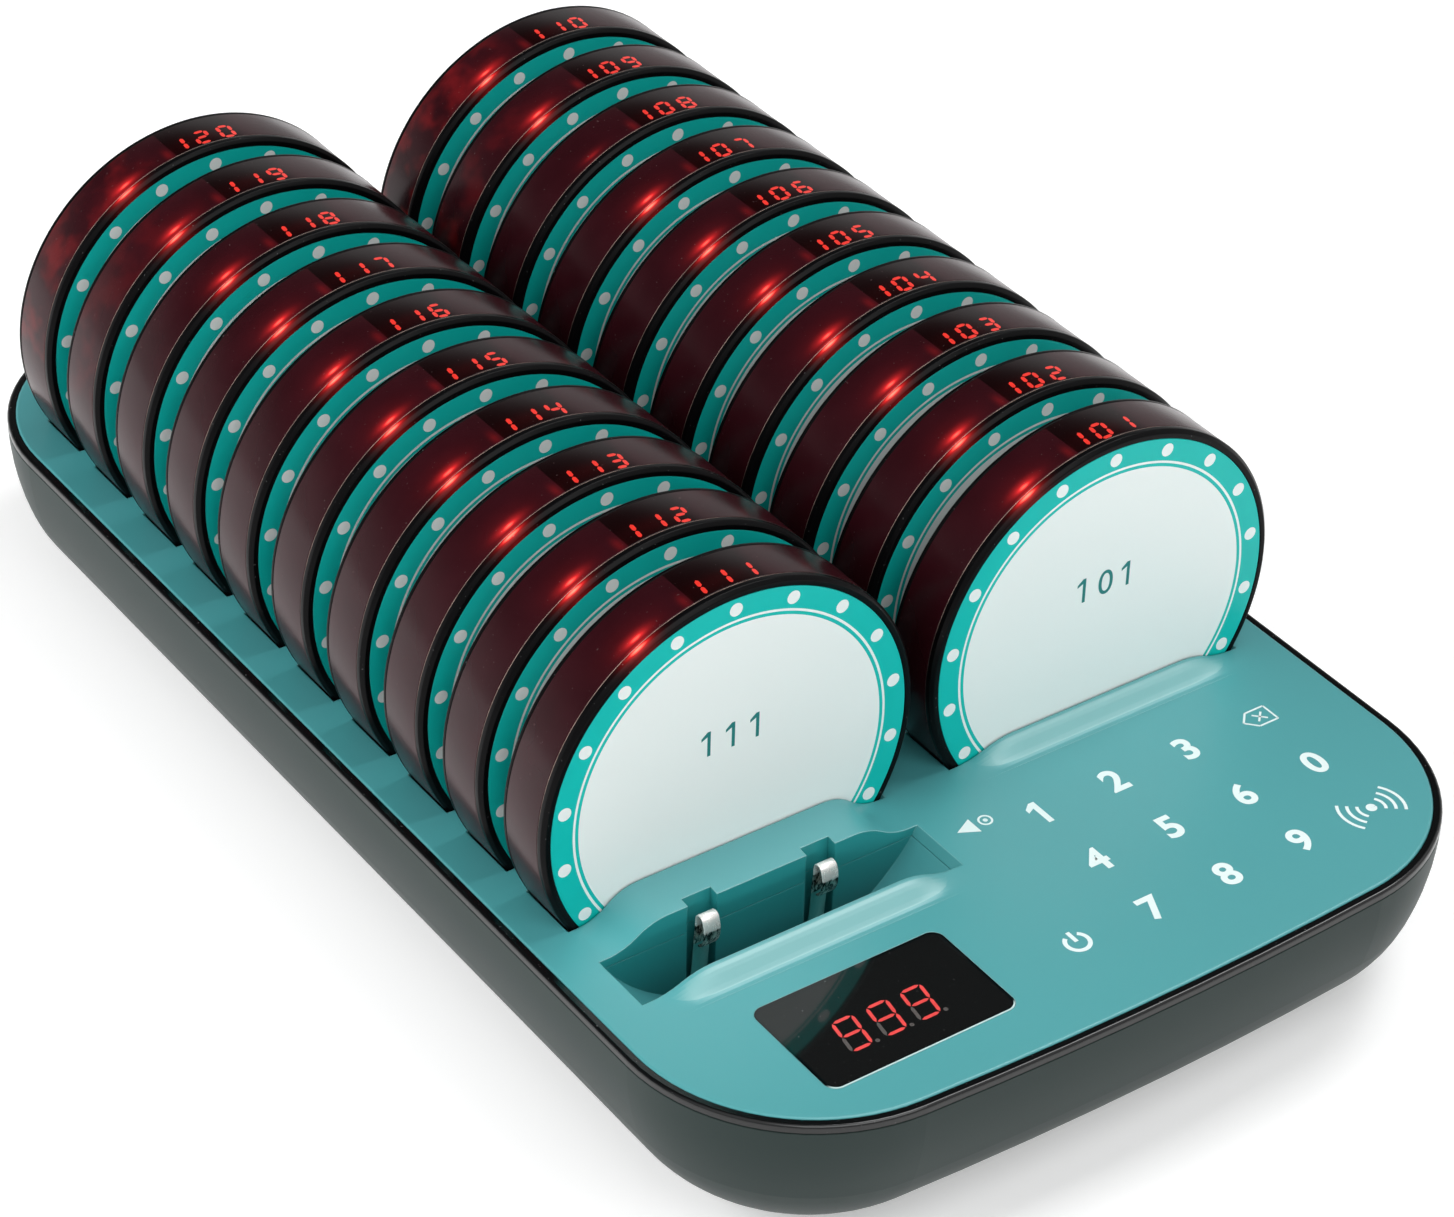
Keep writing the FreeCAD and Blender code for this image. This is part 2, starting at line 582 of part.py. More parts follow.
def wall_profile(sketch):
    """Section of the shell's wall: two tangent arcs outside, the same less the wall inside."""
    lap = float(floor_lap)
    outer = base_width / 2
    centre_high = (float(outer - wall_arc), float(shell_top))
    centre_low = (float(outer - foot_inset), float(feet_stand + foot_arc))
    meet = math.atan2(centre_low[1] - centre_high[1], centre_low[0] - centre_high[0])
    down = -math.pi / 2
    x_low = centre_low[0]
    z_low = float(feet_stand)
    thick = float(shell_wall)
    top_level = float(shell_top)
    shapes = [arc(centre_high, wall_arc, meet, 0),
              arc(centre_low, foot_arc, down, meet),
              line((x_low, z_low), (x_low - lap, z_low)),
              line((x_low - lap, z_low), (x_low - lap, z_low + thick)),
              line((x_low - lap, z_low + thick), (x_low, z_low + thick)),
              arc(centre_low, foot_arc - shell_wall, down, meet),
              arc(centre_high, wall_arc - shell_wall, meet, 0),
              line((float(outer) - thick, top_level), (float(outer), top_level))]
    sketch.addGeometry(shapes, False)
    for first, first_end, second, second_end in ((0, 1, 1, 2), (1, 1, 2, 1), (4, 2, 5, 1), (5, 2, 6, 1)):
        sketch.addConstraint(Sketcher.Constraint("Tangent", first, first_end, second, second_end))
    for first, first_end, second, second_end in ((2, 2, 3, 1), (3, 2, 4, 1), (6, 2, 7, 1), (7, 2, 0, 2),
                                                 (0, 3, 6, 3), (1, 3, 5, 3)):
        sketch.addConstraint(Sketcher.Constraint("Coincident", first, first_end, second, second_end))
    for level in (2, 4, 7):
        sketch.addConstraint(Sketcher.Constraint("Horizontal", level))
    sketch.addConstraint(Sketcher.Constraint("Vertical", 3))
    drive(sketch, "Radius", 0, wall_arc)
    drive(sketch, "Radius", 1, foot_arc)
    drive(sketch, "Radius", 5, foot_arc - shell_wall)
    drive(sketch, "DistanceY", -1, 1, 0, 3, shell_top)
    drive(sketch, "DistanceY", -1, 1, 7, 1, shell_top)
    drive(sketch, "DistanceX", -1, 1, 7, 2, outer)
    drive(sketch, "DistanceY", -1, 1, 2, 1, feet_stand)
    drive(sketch, "DistanceX", 2, 1, 2, 2, -floor_lap)


def make_bottom_shell():
    body = new_body("shell_body")
    path = new_sketch(body, "shell_path", "XY_Plane")
    outline(path, 0)
    profile = new_sketch(body, "wall_section", "XZ_Plane")
    wall_profile(profile)
    doc.recompute()
    wall = body.newObject("PartDesign::AdditivePipe", "curved_wall")
    wall.Profile = (profile, [""])
    wall.Spine = (path, [""])
    floor = new_sketch(body, "floor_outline", "XY_Plane", feet_stand)
    outline(floor, foot_inset + floor_overlap)
    pad(body, floor, shell_wall, "floor")
    doc.recompute()

    # screw bosses, board posts and the panel that carries inlet and switch
    posts = [rod("shell_boss_%d" % index, boss_radius, boss_meet - floor_top + shell_wall / 2,
                 x, y, floor_top - shell_wall / 2)
             for index, (x, y) in enumerate(cover_screw_places)]
    for side, x in columns.items():
        for index, (dx, y) in enumerate(charge_screw_places):
            posts.append(rod("charge_post_%s_%d" % (side, index), post_radius,
                             charge_board_level - floor_top + shell_wall / 2,
                             x + dx, y, floor_top - shell_wall / 2))
    for index, (x, y) in enumerate(inlet_screw_places):
        posts.append(rod("inlet_post_%d" % index, post_radius,
                         inlet_board_top - board_thickness - floor_top + shell_wall / 2,
                         x, y, floor_top - shell_wall / 2))
    low = inlet_level - panel_height / 2
    high = inlet_level + panel_height / 2
    panel = make_panel_box(low - shell_wall, high + shell_wall)
    solid = fuse("shell_with_posts", [body, panel, group("posts", posts)])

    holes = []
    sinks = []
    for index, (x, y) in enumerate(cover_screw_places):
        holes.append(rod("shell_hole_%d" % index, screw_radius + hole_fit, boss_meet + 1, x, y, 0))
        sinks.append(rod("shell_sink_%d" % index, screw_head_radius + hole_fit, sink_top, x, y, 0))
    for side, x in columns.items():
        for index, (dx, y) in enumerate(charge_screw_places):
            holes.append(rod("charge_pilot_%s_%d" % (side, index), small_screw_radius + thread_fit,
                             small_screw_length, x + dx, y, charge_board_level - small_screw_length + 1))
    for index, (x, y) in enumerate(inlet_screw_places):
        holes.append(rod("inlet_pilot_%d" % index, small_screw_radius + thread_fit, small_screw_length,
                         x, y, inlet_board_top - small_screw_length))
    for number, (x, y) in enumerate(foot_places()):
        holes.append(rod("foot_seat_%d" % number, foot_radius + close_fit, feet_stand + foot_recess, x, y, 0))
    holes.append(block("panel_recess", (-panel_width / 2, panel_width / 2), (panel_y, base_length / 2 + 1),
                       (low, high)))
    sinks.append(rod("jack_hole", jack_collar + close_fit, shell_wall + 2,
                     jack_x, panel_back - 1, inlet_level, "y"))
    sinks.append(block("switch_hole", around(switch_x, switch_width + close_fit * 2),
                       (panel_back - 1, panel_y + 1), around(inlet_level, switch_height + close_fit * 2)))
    for index in range(VENTS):
        start = vent_start + vent_pitch * index
        sinks.append(block("vent_%d" % index, (-vent_width / 2, vent_width / 2), (start, start + vent_slot),
                           (0.0, floor_top + 1)))
    lap_ring = new_body("lap_ring")
    ring = new_sketch(lap_ring, "lap_outline", "XY_Plane", shell_top - lap_depth)
    outline(ring, lap_inset)
    outline(ring, shell_wall + lap_reach)
    pad(lap_ring, ring, lap_depth + 1, "lap_cut")
    sinks.append(lap_ring)
    drilled = cut("drilled_shell", solid, group("shell_holes", holes))
    return keep(cut("shell", drilled, group("shell_sinks", sinks)), "bottom_shell")


def make_panel_box(low, high):
    """Walls round the recessed rear panel, ending in the middle of the curved wall."""
    body = new_body("panel_box")
    half = panel_width / 2 + shell_wall
    sketch = new_sketch(body, "panel_side", "YZ_Plane", -half)
    edge = base_length / 2 - shell_wall / 2
    levels = (low, (low + high) / 2, high)
    outer = [(edge - wall_inset(level), level) for level in levels]
    polygon(sketch, [(panel_back, high), (panel_back, low)] + outer)
    pad(body, sketch, half * 2, "panel_pad")
    return body


def foot_places():
    across = base_width / 2 - foot_side
    along = base_length / 2 - foot_end
    return [(across * sx, along * sy) for sx in (-1, 1) for sy in (-1, 0, 1)]


# ---------------------------------------------------------------- trim ring

def make_trim_ring():
    body = new_body("trim_body")
    skirt_out = lap_inset + close_fit
    skirt_in = skirt_out + spigot_wall
    ledge_in = trim_width + close_fit + ledge_width
    band_low = shell_top + seam_gap
    band = new_sketch(body, "band_outline", "XY_Plane", band_low)
    outline(band, 0)
    outline(band, trim_width)
    band_pad = pad(body, band, top - trim_drop - band_low, "band")
    doc.recompute()
    edges = edges_at(band_pad, top - trim_drop, 0)
    round_edges(body, band_pad, edges, trim_round, "band_round")
    skirt = new_sketch(body, "skirt_outline", "XY_Plane", shell_top - lap_depth + close_fit * 2)
    outline(skirt, skirt_out)
    outline(skirt, skirt_in)
    pad(body, skirt, cover_under - (shell_top - lap_depth + close_fit * 2), "skirt")
    neck = new_sketch(body, "neck_outline", "XY_Plane", cover_under - ledge_thickness)
    outline(neck, skirt_out)
    outline(neck, trim_width)
    pad(body, neck, band_low - cover_under + ledge_thickness, "neck")
    ledge = new_sketch(body, "ledge_outline", "XY_Plane", cover_under - ledge_thickness)
    outline(ledge, skirt_out)
    outline(ledge, ledge_in)
    pad(body, ledge, ledge_thickness, "ledge")
    return keep(body, "trim_ring")


# ---------------------------------------------------------------- top cover

def ridge_section(name, x, y, height):
    """Section across a row's ridge: level top, two S-shaped shoulders of equal arcs, closed below."""
    sketch = doc.addObject("Sketcher::SketchObject", name)
    sketch.Placement.Rotation = FreeCAD.Rotation(VECTOR(1, 0, 0), 90)
    place(sketch, x, y, top)
    run = float(ridge_reach - ridge_flat)
    rise = float(height)
    radius = (run * run + rise * rise) / (4 * rise)
    half_turn = math.asin(run / 2 / radius)
    flat = float(ridge_flat)
    reach = float(ridge_reach)
    upright = math.pi / 2
    below = -float(cover_thickness) / 2
    shapes = [line((-flat, rise), (flat, rise)),
              arc((flat, rise - radius), radius, upright - half_turn, upright),
              arc((reach, radius), radius, 3 * upright - half_turn, 3 * upright),
              line((reach, 0), (reach, below)),
              line((reach, below), (-reach, below)),
              line((-reach, below), (-reach, 0)),
              arc((-reach, radius), radius, 3 * upright, 3 * upright + half_turn),
              arc((-flat, rise - radius), radius, upright, upright + half_turn)]
    sketch.addGeometry(shapes, False)
    joints = ((0, 2, 1, 2, "Tangent"), (1, 1, 2, 1, "Tangent"), (2, 2, 3, 1, "Coincident"),
              (3, 2, 4, 1, "Coincident"), (4, 2, 5, 1, "Coincident"), (5, 2, 6, 1, "Coincident"),
              (6, 2, 7, 2, "Tangent"), (7, 1, 0, 1, "Tangent"))
    for first, first_end, second, second_end, kind in joints:
        sketch.addConstraint(Sketcher.Constraint(kind, first, first_end, second, second_end))
    for upright_line in (3, 5):
        sketch.addConstraint(Sketcher.Constraint("Vertical", upright_line))
    for equal in (2, 6, 7):
        sketch.addConstraint(Sketcher.Constraint("Equal", 1, equal))
    drive(sketch, "DistanceX", -1, 1, 0, 1, -ridge_flat)
    drive(sketch, "DistanceX", -1, 1, 0, 2, ridge_flat)
    drive(sketch, "DistanceY", -1, 1, 0, 1, height)
    drive(sketch, "DistanceY", -1, 1, 0, 2, height)
    drive(sketch, "DistanceX", -1, 1, 3, 1, ridge_reach)
    drive(sketch, "DistanceY", -1, 1, 3, 1, 0)
    drive(sketch, "DistanceY", -1, 1, 3, 2, -cover_thickness / 2)
    drive(sketch, "DistanceX", -1, 1, 5, 1, -ridge_reach)
    drive(sketch, "DistanceY", -1, 1, 5, 1, -cover_thickness / 2)
    drive(sketch, "DistanceY", -1, 1, 5, 2, 0)
    return sketch


def make_ridge(side, x, front_slot_y):
    """One row's ridge: it swells from the flat to its front slot, is at full height from the slot
    behind on, and falls back to the flat after the last one, along half cosine waves."""
    front = front_slot_y - slot_width / 2
    back = row_pitch * (PAGERS_IN_ROW - 1) - first_pager + slot_width / 2 + notch_depth + well_wall
    stations = []
    for step in range(SWELL_STEPS + 1):
        share = step / SWELL_STEPS
        rise = (1 - math.cos(math.pi * share)) / 2
        stations.append((front - swell_run * (1 - share), ridge_front_height * rise + ridge_lip))
    stations.append((front + set_slot_gap, ridge_height))
    for step in range(SWELL_STEPS + 1):
        share = step / SWELL_STEPS
        fall = (1 + math.cos(math.pi * share)) / 2
        stations.append((back + swell_run * share, (ridge_height - ridge_lip) * fall + ridge_lip))
    loft = doc.addObject("Part::Loft", "ridge_" + side)
    loft.Sections = [ridge_section("ridge_%s_%02d" % (side, index), x, y, height)
                     for index, (y, height) in enumerate(stations)]
    loft.Solid = True
    loft.Ruled = True
    return loft


def make_top_cover():
    body = new_body("cover_body")
    plate_outline = new_sketch(body, "cover_outline", "XY_Plane", cover_under)
    outline(plate_outline, trim_width + close_fit)
    plate = pad(body, plate_outline, cover_thickness, "cover_plate")
    doc.recompute()
    round_edges(body, plate, edges_at(plate, top, trim_width + close_fit), cover_round, "cover_edge")

    sides = ("left", "right")
    ridges = [make_ridge("left", -column_offset, set_slot_y),
              make_ridge("right", column_offset, -first_pager)]
    cores = [copy("core_" + side, ridge, z=-cover_thickness) for side, ridge in zip(sides, ridges)]
    skin = cut("cover_skin", fuse("cover_solid", [body] + ridges), group("cores", cores))

    # one slot at the setting slot's place, then its copies
    x = -column_offset
    y = set_slot_y
    half_slot = slot_width / 2
    reach = slot_radius + well_wall
    void = common("slot_space", rod("slot_round", slot_radius, slot_width, x, y - half_slot, axis_level, "y"),
                  block("slot_height", (x - slot_radius, x + slot_radius), (y - half_slot, y + half_slot),
                        (0.0, axis_level)))
    notches = []
    housings = []
    for sign in (-1, 1):
        middle = x + notch_offset * sign
        notches.append(block("notch_%d" % (sign + 1), around(middle, notch_width),
                             (y + half_slot - 1, y + half_slot + notch_depth), (floor_top, axis_level)))
        housings.append(block("housing_%d" % (sign + 1), around(middle, notch_width + well_wall * 2),
                              (y + half_slot, y + half_slot + notch_depth + well_wall),
                              (floor_top, axis_level)))
    walls = block("well_walls", (x - reach, x + reach),
                  (y - half_slot - well_wall, y + half_slot + well_wall), (floor_top, axis_level))
    slot_wall = fuse("slot_wall", [walls] + housings)
    round_well = common("round_well",
                        rod("well_round", reach, base_length, x, -base_length / 2, axis_level, "y"),
                        block("well_height", (x - reach, x + reach), (-base_length / 2, base_length / 2),
                              (0.0, cover_under)))
    well = common("well", slot_wall, round_well)
    slot_void = fuse("slot_void", [void] + notches)
    trough = cut("trough", well, slot_void)
    keep(copy("setting_trough", trough), "setting_well")
    wells = []
    voids = []
    combs = {"left": [], "right": []}
    for index, (side, slot_x, slot_y) in enumerate(slot_places()):
        dx = slot_x + column_offset
        dy = slot_y - set_slot_y
        if side != "set":
            wells.append(copy("well_%02d" % index, trough, dx, dy))
        voids.append(copy("void_%02d" % index, slot_void, dx, dy))
        row = "right" if side == "right" else "left"
        combs[row].append(copy("comb_%02d" % index, slot_wall, dx, dy))
    keep(group("well_set", wells), "slot_wells")

    # walls that carry each slot up to the ridge above its well
    fillers = []
    for side, ridge in zip(sides, ridges):
        low_ridge = copy("low_ridge_" + side, ridge, z=-cover_thickness / 2)
        fillers.append(common("well_tops_" + side, group("comb_" + side, combs[side]), low_ridge))

    # bosses for the cover screws and for the main board
    bosses = [rod("cover_boss_%d" % index, boss_radius, cover_under - boss_meet + cover_thickness / 2,
                  px, py, boss_meet) for index, (px, py) in enumerate(cover_screw_places)]
    bosses += [rod("board_boss_%d" % index, post_radius, cover_under - main_board_top + cover_thickness / 2,
                   px, py, main_board_top) for index, (px, py) in enumerate(main_screw_places)]
    solid = fuse("cover_with_walls", [skin, group("bosses", bosses)] + fillers)

    cuts = list(voids)
    for index, (px, py) in enumerate(cover_screw_places):
        cuts.append(rod("cover_pilot_%d" % index, screw_radius + thread_fit, screw_length, px, py, boss_meet))
    for index, (px, py) in enumerate(main_screw_places):
        cuts.append(rod("board_pilot_%d" % index, small_screw_radius + thread_fit, small_screw_length,
                        px, py, main_board_top))
    recess = new_body("window_recess")
    recess_outline = new_sketch(recess, "recess_outline", "XY_Plane", top - window_sheet)
    rounded_rectangle(recess_outline, around(window_x, window_width), around(window_y, window_depth),
                      window_round)
    pad(recess, recess_outline, window_sheet + 1, "recess_pad")
    cuts.append(recess)
    cuts.append(block("module_opening", around(digits_x, module_width + module_room),
                      around(digits_y, module_depth + module_room), (cover_under - 1, top)))
    return keep(cut("cover", solid, group("cover_cuts", cuts)), "top_cover")


# ---------------------------------------------------------------- screws and feet

def screw(name, shank, length, head, head_height, x, y, z, down=False):
    """A screw whose head starts at z and whose shank points up, or down."""
    head_at = z if down else z - head_height
    shank_at = z - length if down else z
    return fuse(name, [rod(name + "_head", head, head_height, x, y, head_at),
                       rod(name + "_shank", shank, length, x, y, shank_at)])


def make_screws():
    cover = [screw("cover_screw_%d" % index, screw_radius, screw_length, screw_head_radius, screw_head_height,
                   x, y, sink_top) for index, (x, y) in enumerate(cover_screw_places)]
    keep(group("cover_screw_set", cover), "cover_screws")
    small = []
    for side, x in columns.items():
        for index, (dx, y) in enumerate(charge_screw_places):
            small.append((x + dx, y, charge_board_top, True))
    small += [(x, y, inlet_board_top, True) for x, y in inlet_screw_places]
    small += [(x, y, main_board_under, False) for x, y in main_screw_places]
    pieces = [screw("board_screw_%02d" % index, small_screw_radius, small_screw_length, small_head_radius,
                    small_head_height, x, y, z, down) for index, (x, y, z, down) in enumerate(small)]
    keep(group("board_screw_set", pieces), "board_screws")


def make_feet():
    feet = [rod("foot_%d" % index, foot_radius, feet_stand + foot_recess, x, y, 0)
            for index, (x, y) in enumerate(foot_places())]
    keep(group("feet_set", feet), "rubber_feet")


# ---------------------------------------------------------------- boards and electronics in the base

def board(label, x, y, z, screw_places):
    """A circuit board with clearance holes for its screws."""
    plate = block(label + "_plate", x, y, (z, z + board_thickness))
    holes = [rod("%s_hole_%d" % (label, index), small_screw_radius + hole_fit, board_thickness + 2,
                 px, py, z - 1) for index, (px, py) in enumerate(screw_places)]
    return keep(cut(label + "_drilled", plate, group(label + "_holes", holes)), label)


def make_base_electronics():
    fronts = {"left": set_slot_y, "right": -first_pager}
    for side, x in columns.items():
        places = [(x + dx, y) for dx, y in charge_screw_places]
        front = fronts[side] + contact_back - charge_front
        board("charge_board_" + side, around(x, charge_board_width), (front, charge_back),
              charge_board_level, places)
    board("main_board", (main_board_left, main_board_right), (main_board_front, main_board_back),
          main_board_under, main_screw_places)
    board("inlet_board", (-inlet_board_half, inlet_board_half), (inlet_board_front, panel_back),
          inlet_board_top - board_thickness, inlet_screw_places)

    keep(block("display_module_body", around(digits_x, module_width), around(digits_y, module_depth),
               (main_board_top, top - window_sheet - close_fit)), "display_module")
    window = new_body("window_pane")
    pane = new_sketch(window, "window_outline", "XY_Plane", top - window_sheet)
    rounded_rectangle(pane, around(window_x, window_width - close_fit * 2),
                      around(window_y, window_depth - close_fit * 2), window_round - close_fit)
    pad(window, pane, window_sheet, "window_pad")
    keep(window, "display_window")

    sensor = new_body("touch_sheet")
    edge = new_sketch(sensor, "touch_outline", "XY_Plane", cover_under - keypad_sheet)
    polygon(edge, [(keypad_left, keypad_front), (keypad_right, keypad_front),
                   (keypad_right, keypad_back), (keypad_step_x, keypad_back),
                   (keypad_step_x, keypad_step_y), (keypad_left, keypad_step_y)])
    pad(sensor, edge, keypad_sheet, "touch_pad")
    holes = [rod("touch_hole_%d" % index, post_radius + hole_fit, keypad_sheet + 2,
                 x, y, cover_under - keypad_sheet - 1) for index, (x, y) in enumerate(main_screw_places[2:])]
    keep(cut("touch_drilled", sensor, group("touch_holes", holes)), "touch_sensor")
    keep(block("header_body", around(header_x, header_width), around(header_y, header_depth),
               (main_board_top, cover_under - keypad_sheet)), "keypad_connector")
    keep(block("radio_body", around(radio_x, radio_width), around(radio_y, radio_depth),
               (main_board_top, main_board_top + radio_height)), "radio_module")
    antenna_level = main_board_top + antenna_radius + close_fit
    keep(rod("antenna_coil", antenna_radius, antenna_length, keypad_left - antenna_length / 2,
             main_board_front + antenna_radius * 2, antenna_level, "x"), "antenna")
    keep(rod("buzzer_can", sounder_radius, buzzer_height, buzzer_x, buzzer_y, main_board_top), "base_sounder")


# ---------------------------------------------------------------- charging contacts

def make_leaf():
    """A contact leaf, its foot at the origin: an upright stem that rolls over forward at its top
    into a tongue, whose lower end hooks back."""
    body = new_body("leaf")
    sketch = new_sketch(body, "leaf_section", "YZ_Plane", -contact_width / 2)
    half = contact_sheet / 2
    roll = contact_bulge / 2
    roll_level = top + contact_top - contact_level - roll - half
    hook_level = roll_level - contact_tongue
    hook_place = contact_hook - contact_bulge
    hook_outside = hook_level - contact_hook - half
    hook_inside = hook_level - contact_hook + half
    front = -contact_bulge
    quarter = math.pi / 2
    shapes = [line((half, 0), (half, roll_level)),
              arc((-roll, roll_level), roll + half, 0, 2 * quarter),
              line((front - half, roll_level), (front - half, hook_level)),
              arc((hook_place, hook_level), contact_hook + half, 2 * quarter, 3 * quarter),
              line((hook_place, hook_outside), (hook_place, hook_inside)),
              arc((hook_place, hook_level), contact_hook - half, 2 * quarter, 3 * quarter),
              line((front + half, hook_level), (front + half, roll_level)),
              arc((-roll, roll_level), roll - half, 0, 2 * quarter),
              line((-half, roll_level), (-half, 0)),
              line((-half, 0), (half, 0))]
    sketch.addGeometry(shapes, False)
    joints = ((0, 2, 1, 1, "Tangent"), (1, 2, 2, 1, "Tangent"), (2, 2, 3, 1, "Tangent"),
              (3, 2, 4, 1, "Coincident"), (4, 2, 5, 2, "Coincident"), (5, 1, 6, 1, "Tangent"),
              (6, 2, 7, 2, "Tangent"), (7, 1, 8, 1, "Tangent"), (8, 2, 9, 1, "Coincident"),
              (9, 2, 0, 1, "Coincident"), (1, 3, 7, 3, "Coincident"), (3, 3, 5, 3, "Coincident"))
    for first, first_end, second, second_end, kind in joints:
        sketch.addConstraint(Sketcher.Constraint(kind, first, first_end, second, second_end))
    for upright in (0, 4, 8):
        sketch.addConstraint(Sketcher.Constraint("Vertical", upright))
    sketch.addConstraint(Sketcher.Constraint("Horizontal", 9))
    bends = ((1, roll + half), (7, roll - half), (3, contact_hook + half), (5, contact_hook - half))
    for bend, radius in bends:
        drive(sketch, "Radius", bend, radius)
    drive(sketch, "DistanceX", -1, 1, 1, 3, -roll)
    drive(sketch, "DistanceY", -1, 1, 1, 3, roll_level)
    drive(sketch, "DistanceX", -1, 1, 3, 3, hook_place)
    drive(sketch, "DistanceY", -1, 1, 3, 3, hook_level)
    drive(sketch, "DistanceX", -1, 1, 4, 1, hook_place)
    drive(sketch, "DistanceY", -1, 1, 0, 1, 0)
    pad(body, sketch, contact_width, "leaf_pad")
    return body


def make_contacts():
    leaf = make_leaf()
    holder = block("holder", around(0, holder_width), around(0, holder_depth), (0, holder_height))
    leaves = []
    holders = []
    for index, (side, x, y) in enumerate(slot_places()):
        for sign, hand in ((-1, "left"), (1, "right")):
            px = x + notch_offset * sign
            py = y + contact_back
            holders.append(copy("holder_%02d_%s" % (index, hand), holder, px, py, charge_board_top))
            one = copy("leaf_%02d_%s" % (index, hand), leaf, px, py, contact_level)
            if side == "set":
                one.Placement.Rotation = FreeCAD.Rotation(VECTOR(1, 0, 0), float(contact_lean))
                one.setExpression("Placement.Rotation.Angle", contact_lean.formula)
                keep(one, "set_contact_" + hand)
            else:
                leaves.append(one)
    keep(group("leaf_set", leaves), "charge_contacts")
    keep(group("holder_set", holders), "contact_holders")


# ---------------------------------------------------------------- inlet, switch and leads

def make_inlet():
    bore_end = panel_y - jack_depth
    body = fuse("jack_solid", [
        block("jack_block", around(jack_x, jack_body), (panel_back - jack_length, panel_back),
              around(inlet_level, jack_body)),
        rod("jack_nose", jack_collar, shell_wall + 1, jack_x, panel_back - 1, inlet_level, "y")])
    bore = rod("jack_bore_hole", jack_bore, jack_depth + 1, jack_x, bore_end, inlet_level, "y")
    keep(cut("jack", body, bore), "dc_jack")
    keep(rod("jack_centre", jack_pin, jack_depth - 1, jack_x, bore_end, inlet_level, "y"), "dc_jack_pin")


def make_switch():
    pivot_y = panel_y - pivot_depth
    outer = block("switch_box", around(switch_x, switch_width), (panel_y - switch_depth, panel_y),
                  around(inlet_level, switch_height))
    flange = block("switch_flange_plate", around(switch_x, switch_width + switch_flange * 2),
                   (panel_y, panel_y + switch_flange), around(inlet_level, switch_height + switch_flange * 2))
    room = block("switch_room", around(switch_x, switch_width - switch_wall * 2),
                 (panel_y - switch_depth + switch_wall, panel_y + switch_flange + 1),
                 around(inlet_level, switch_height - switch_wall * 2))
    pin_length = switch_height - switch_wall / 2
    bearing = rod("pivot_hole", rocker_pin + pin_fit, pin_length + close_fit * 2, switch_x, pivot_y,
                  inlet_level - pin_length / 2 - close_fit, "z")
    frame = cut("switch_hollow", fuse("switch_solid", [outer, flange]), fuse("switch_cuts", [room, bearing]))
    keep(frame, "power_switch_frame")
    plate = block("rocker_plate", around(0, rocker_width), (-pivot_depth, pivot_depth + rocker_proud),
                  around(0, rocker_height))
    pins = rod("rocker_pins", rocker_pin, pin_length, 0, 0, -pin_length / 2, "z")
    rocker = copy("rocker", fuse("rocker_solid", [plate, pins]), switch_x, pivot_y, inlet_level)
    rocker.Placement.Rotation = FreeCAD.Rotation(UP, float(rocker_tilt))
    rocker.setExpression("Placement.Rotation.Angle", rocker_tilt.formula)
    keep(rocker, "power_switch_rocker")


def tube(label, radius, points):
    """A round lead along straight runs joined by tangent arcs as large as the runs allow."""
    points = [VECTOR(*(float(value) for value in point)) for point in points]
    edges = []
    start = points[0]
    for before, corner, after in zip(points, points[1:], points[2:]):
        run_in = corner - before
        run_out = after - corner
        turn = run_in.getAngle(run_out)
        trim = 0.45 * min(run_in.Length, run_out.Length)
        print("%s bend radius %.1f" % (label, trim / math.tan(turn / 2)))
        first = corner - VECTOR(run_in).normalize() * trim
        last = corner + VECTOR(run_out).normalize() * trim
        half = (first + last) / 2
        bend = trim / math.tan(turn / 2)
        centre = corner + (half - corner).normalize() * (bend / math.cos(turn / 2))
        middle = centre + (corner - centre).normalize() * bend
        edges.append(Part.LineSegment(start, first).toShape())
        edges.append(Part.Arc(first, middle, last).toShape())
        start = last
    edges.append(Part.LineSegment(start, points[-1]).toShape())
    path = Part.Wire(edges)
    section = Part.Wire(Part.Circle(points[0], points[1] - points[0], float(radius)).toShape())
    solid = path.makePipeShell([section], True, False)
    expected = math.pi * float(radius) ** 2 * path.Length
    print("%s volume %.0f, section times length %.0f" % (label, solid.Volume, expected))
    lead = doc.addObject("Part::Feature", label + "_run")
    lead.Shape = solid
    return lead


def make_leads():
    on_board = inlet_board_top + lead_radius + close_fit
    on_floor = floor_top + lead_radius + 1
    power = tube("power_lead", lead_radius, [
        (8, 160, on_board), (9, 141, on_board), (11, 128, 14), (10, 112, on_floor),
        (8, 82, on_floor + 1), (10, 48, on_floor), (11, 8, on_floor + 1), (9, -32, on_floor),
        (8, -70, on_floor + 1), (9, -104, on_floor), (11, -122, 12), (12, -137, 20),
        (12, -137, main_board_under)])
    keep(power, "power_lead")
    rest = charge_board_top + charge_lead_radius + close_fit
    left = tube("left_lead", charge_lead_radius, [
        (-54, -138, main_board_under), (-54, -138, 25), (-56, -128, 18), (-57, -113, rest),
        (-58, -100, rest)])
    right = tube("right_lead", charge_lead_radius, [
        (62, -137, main_board_under), (62, -137, 26), (64, -124, 18), (67, -106, rest), (68, -90, rest),
        (71, -75, rest)])
    keep(group("lead_set", [left, right]), "charge_leads")


# ---------------------------------------------------------------- pagers

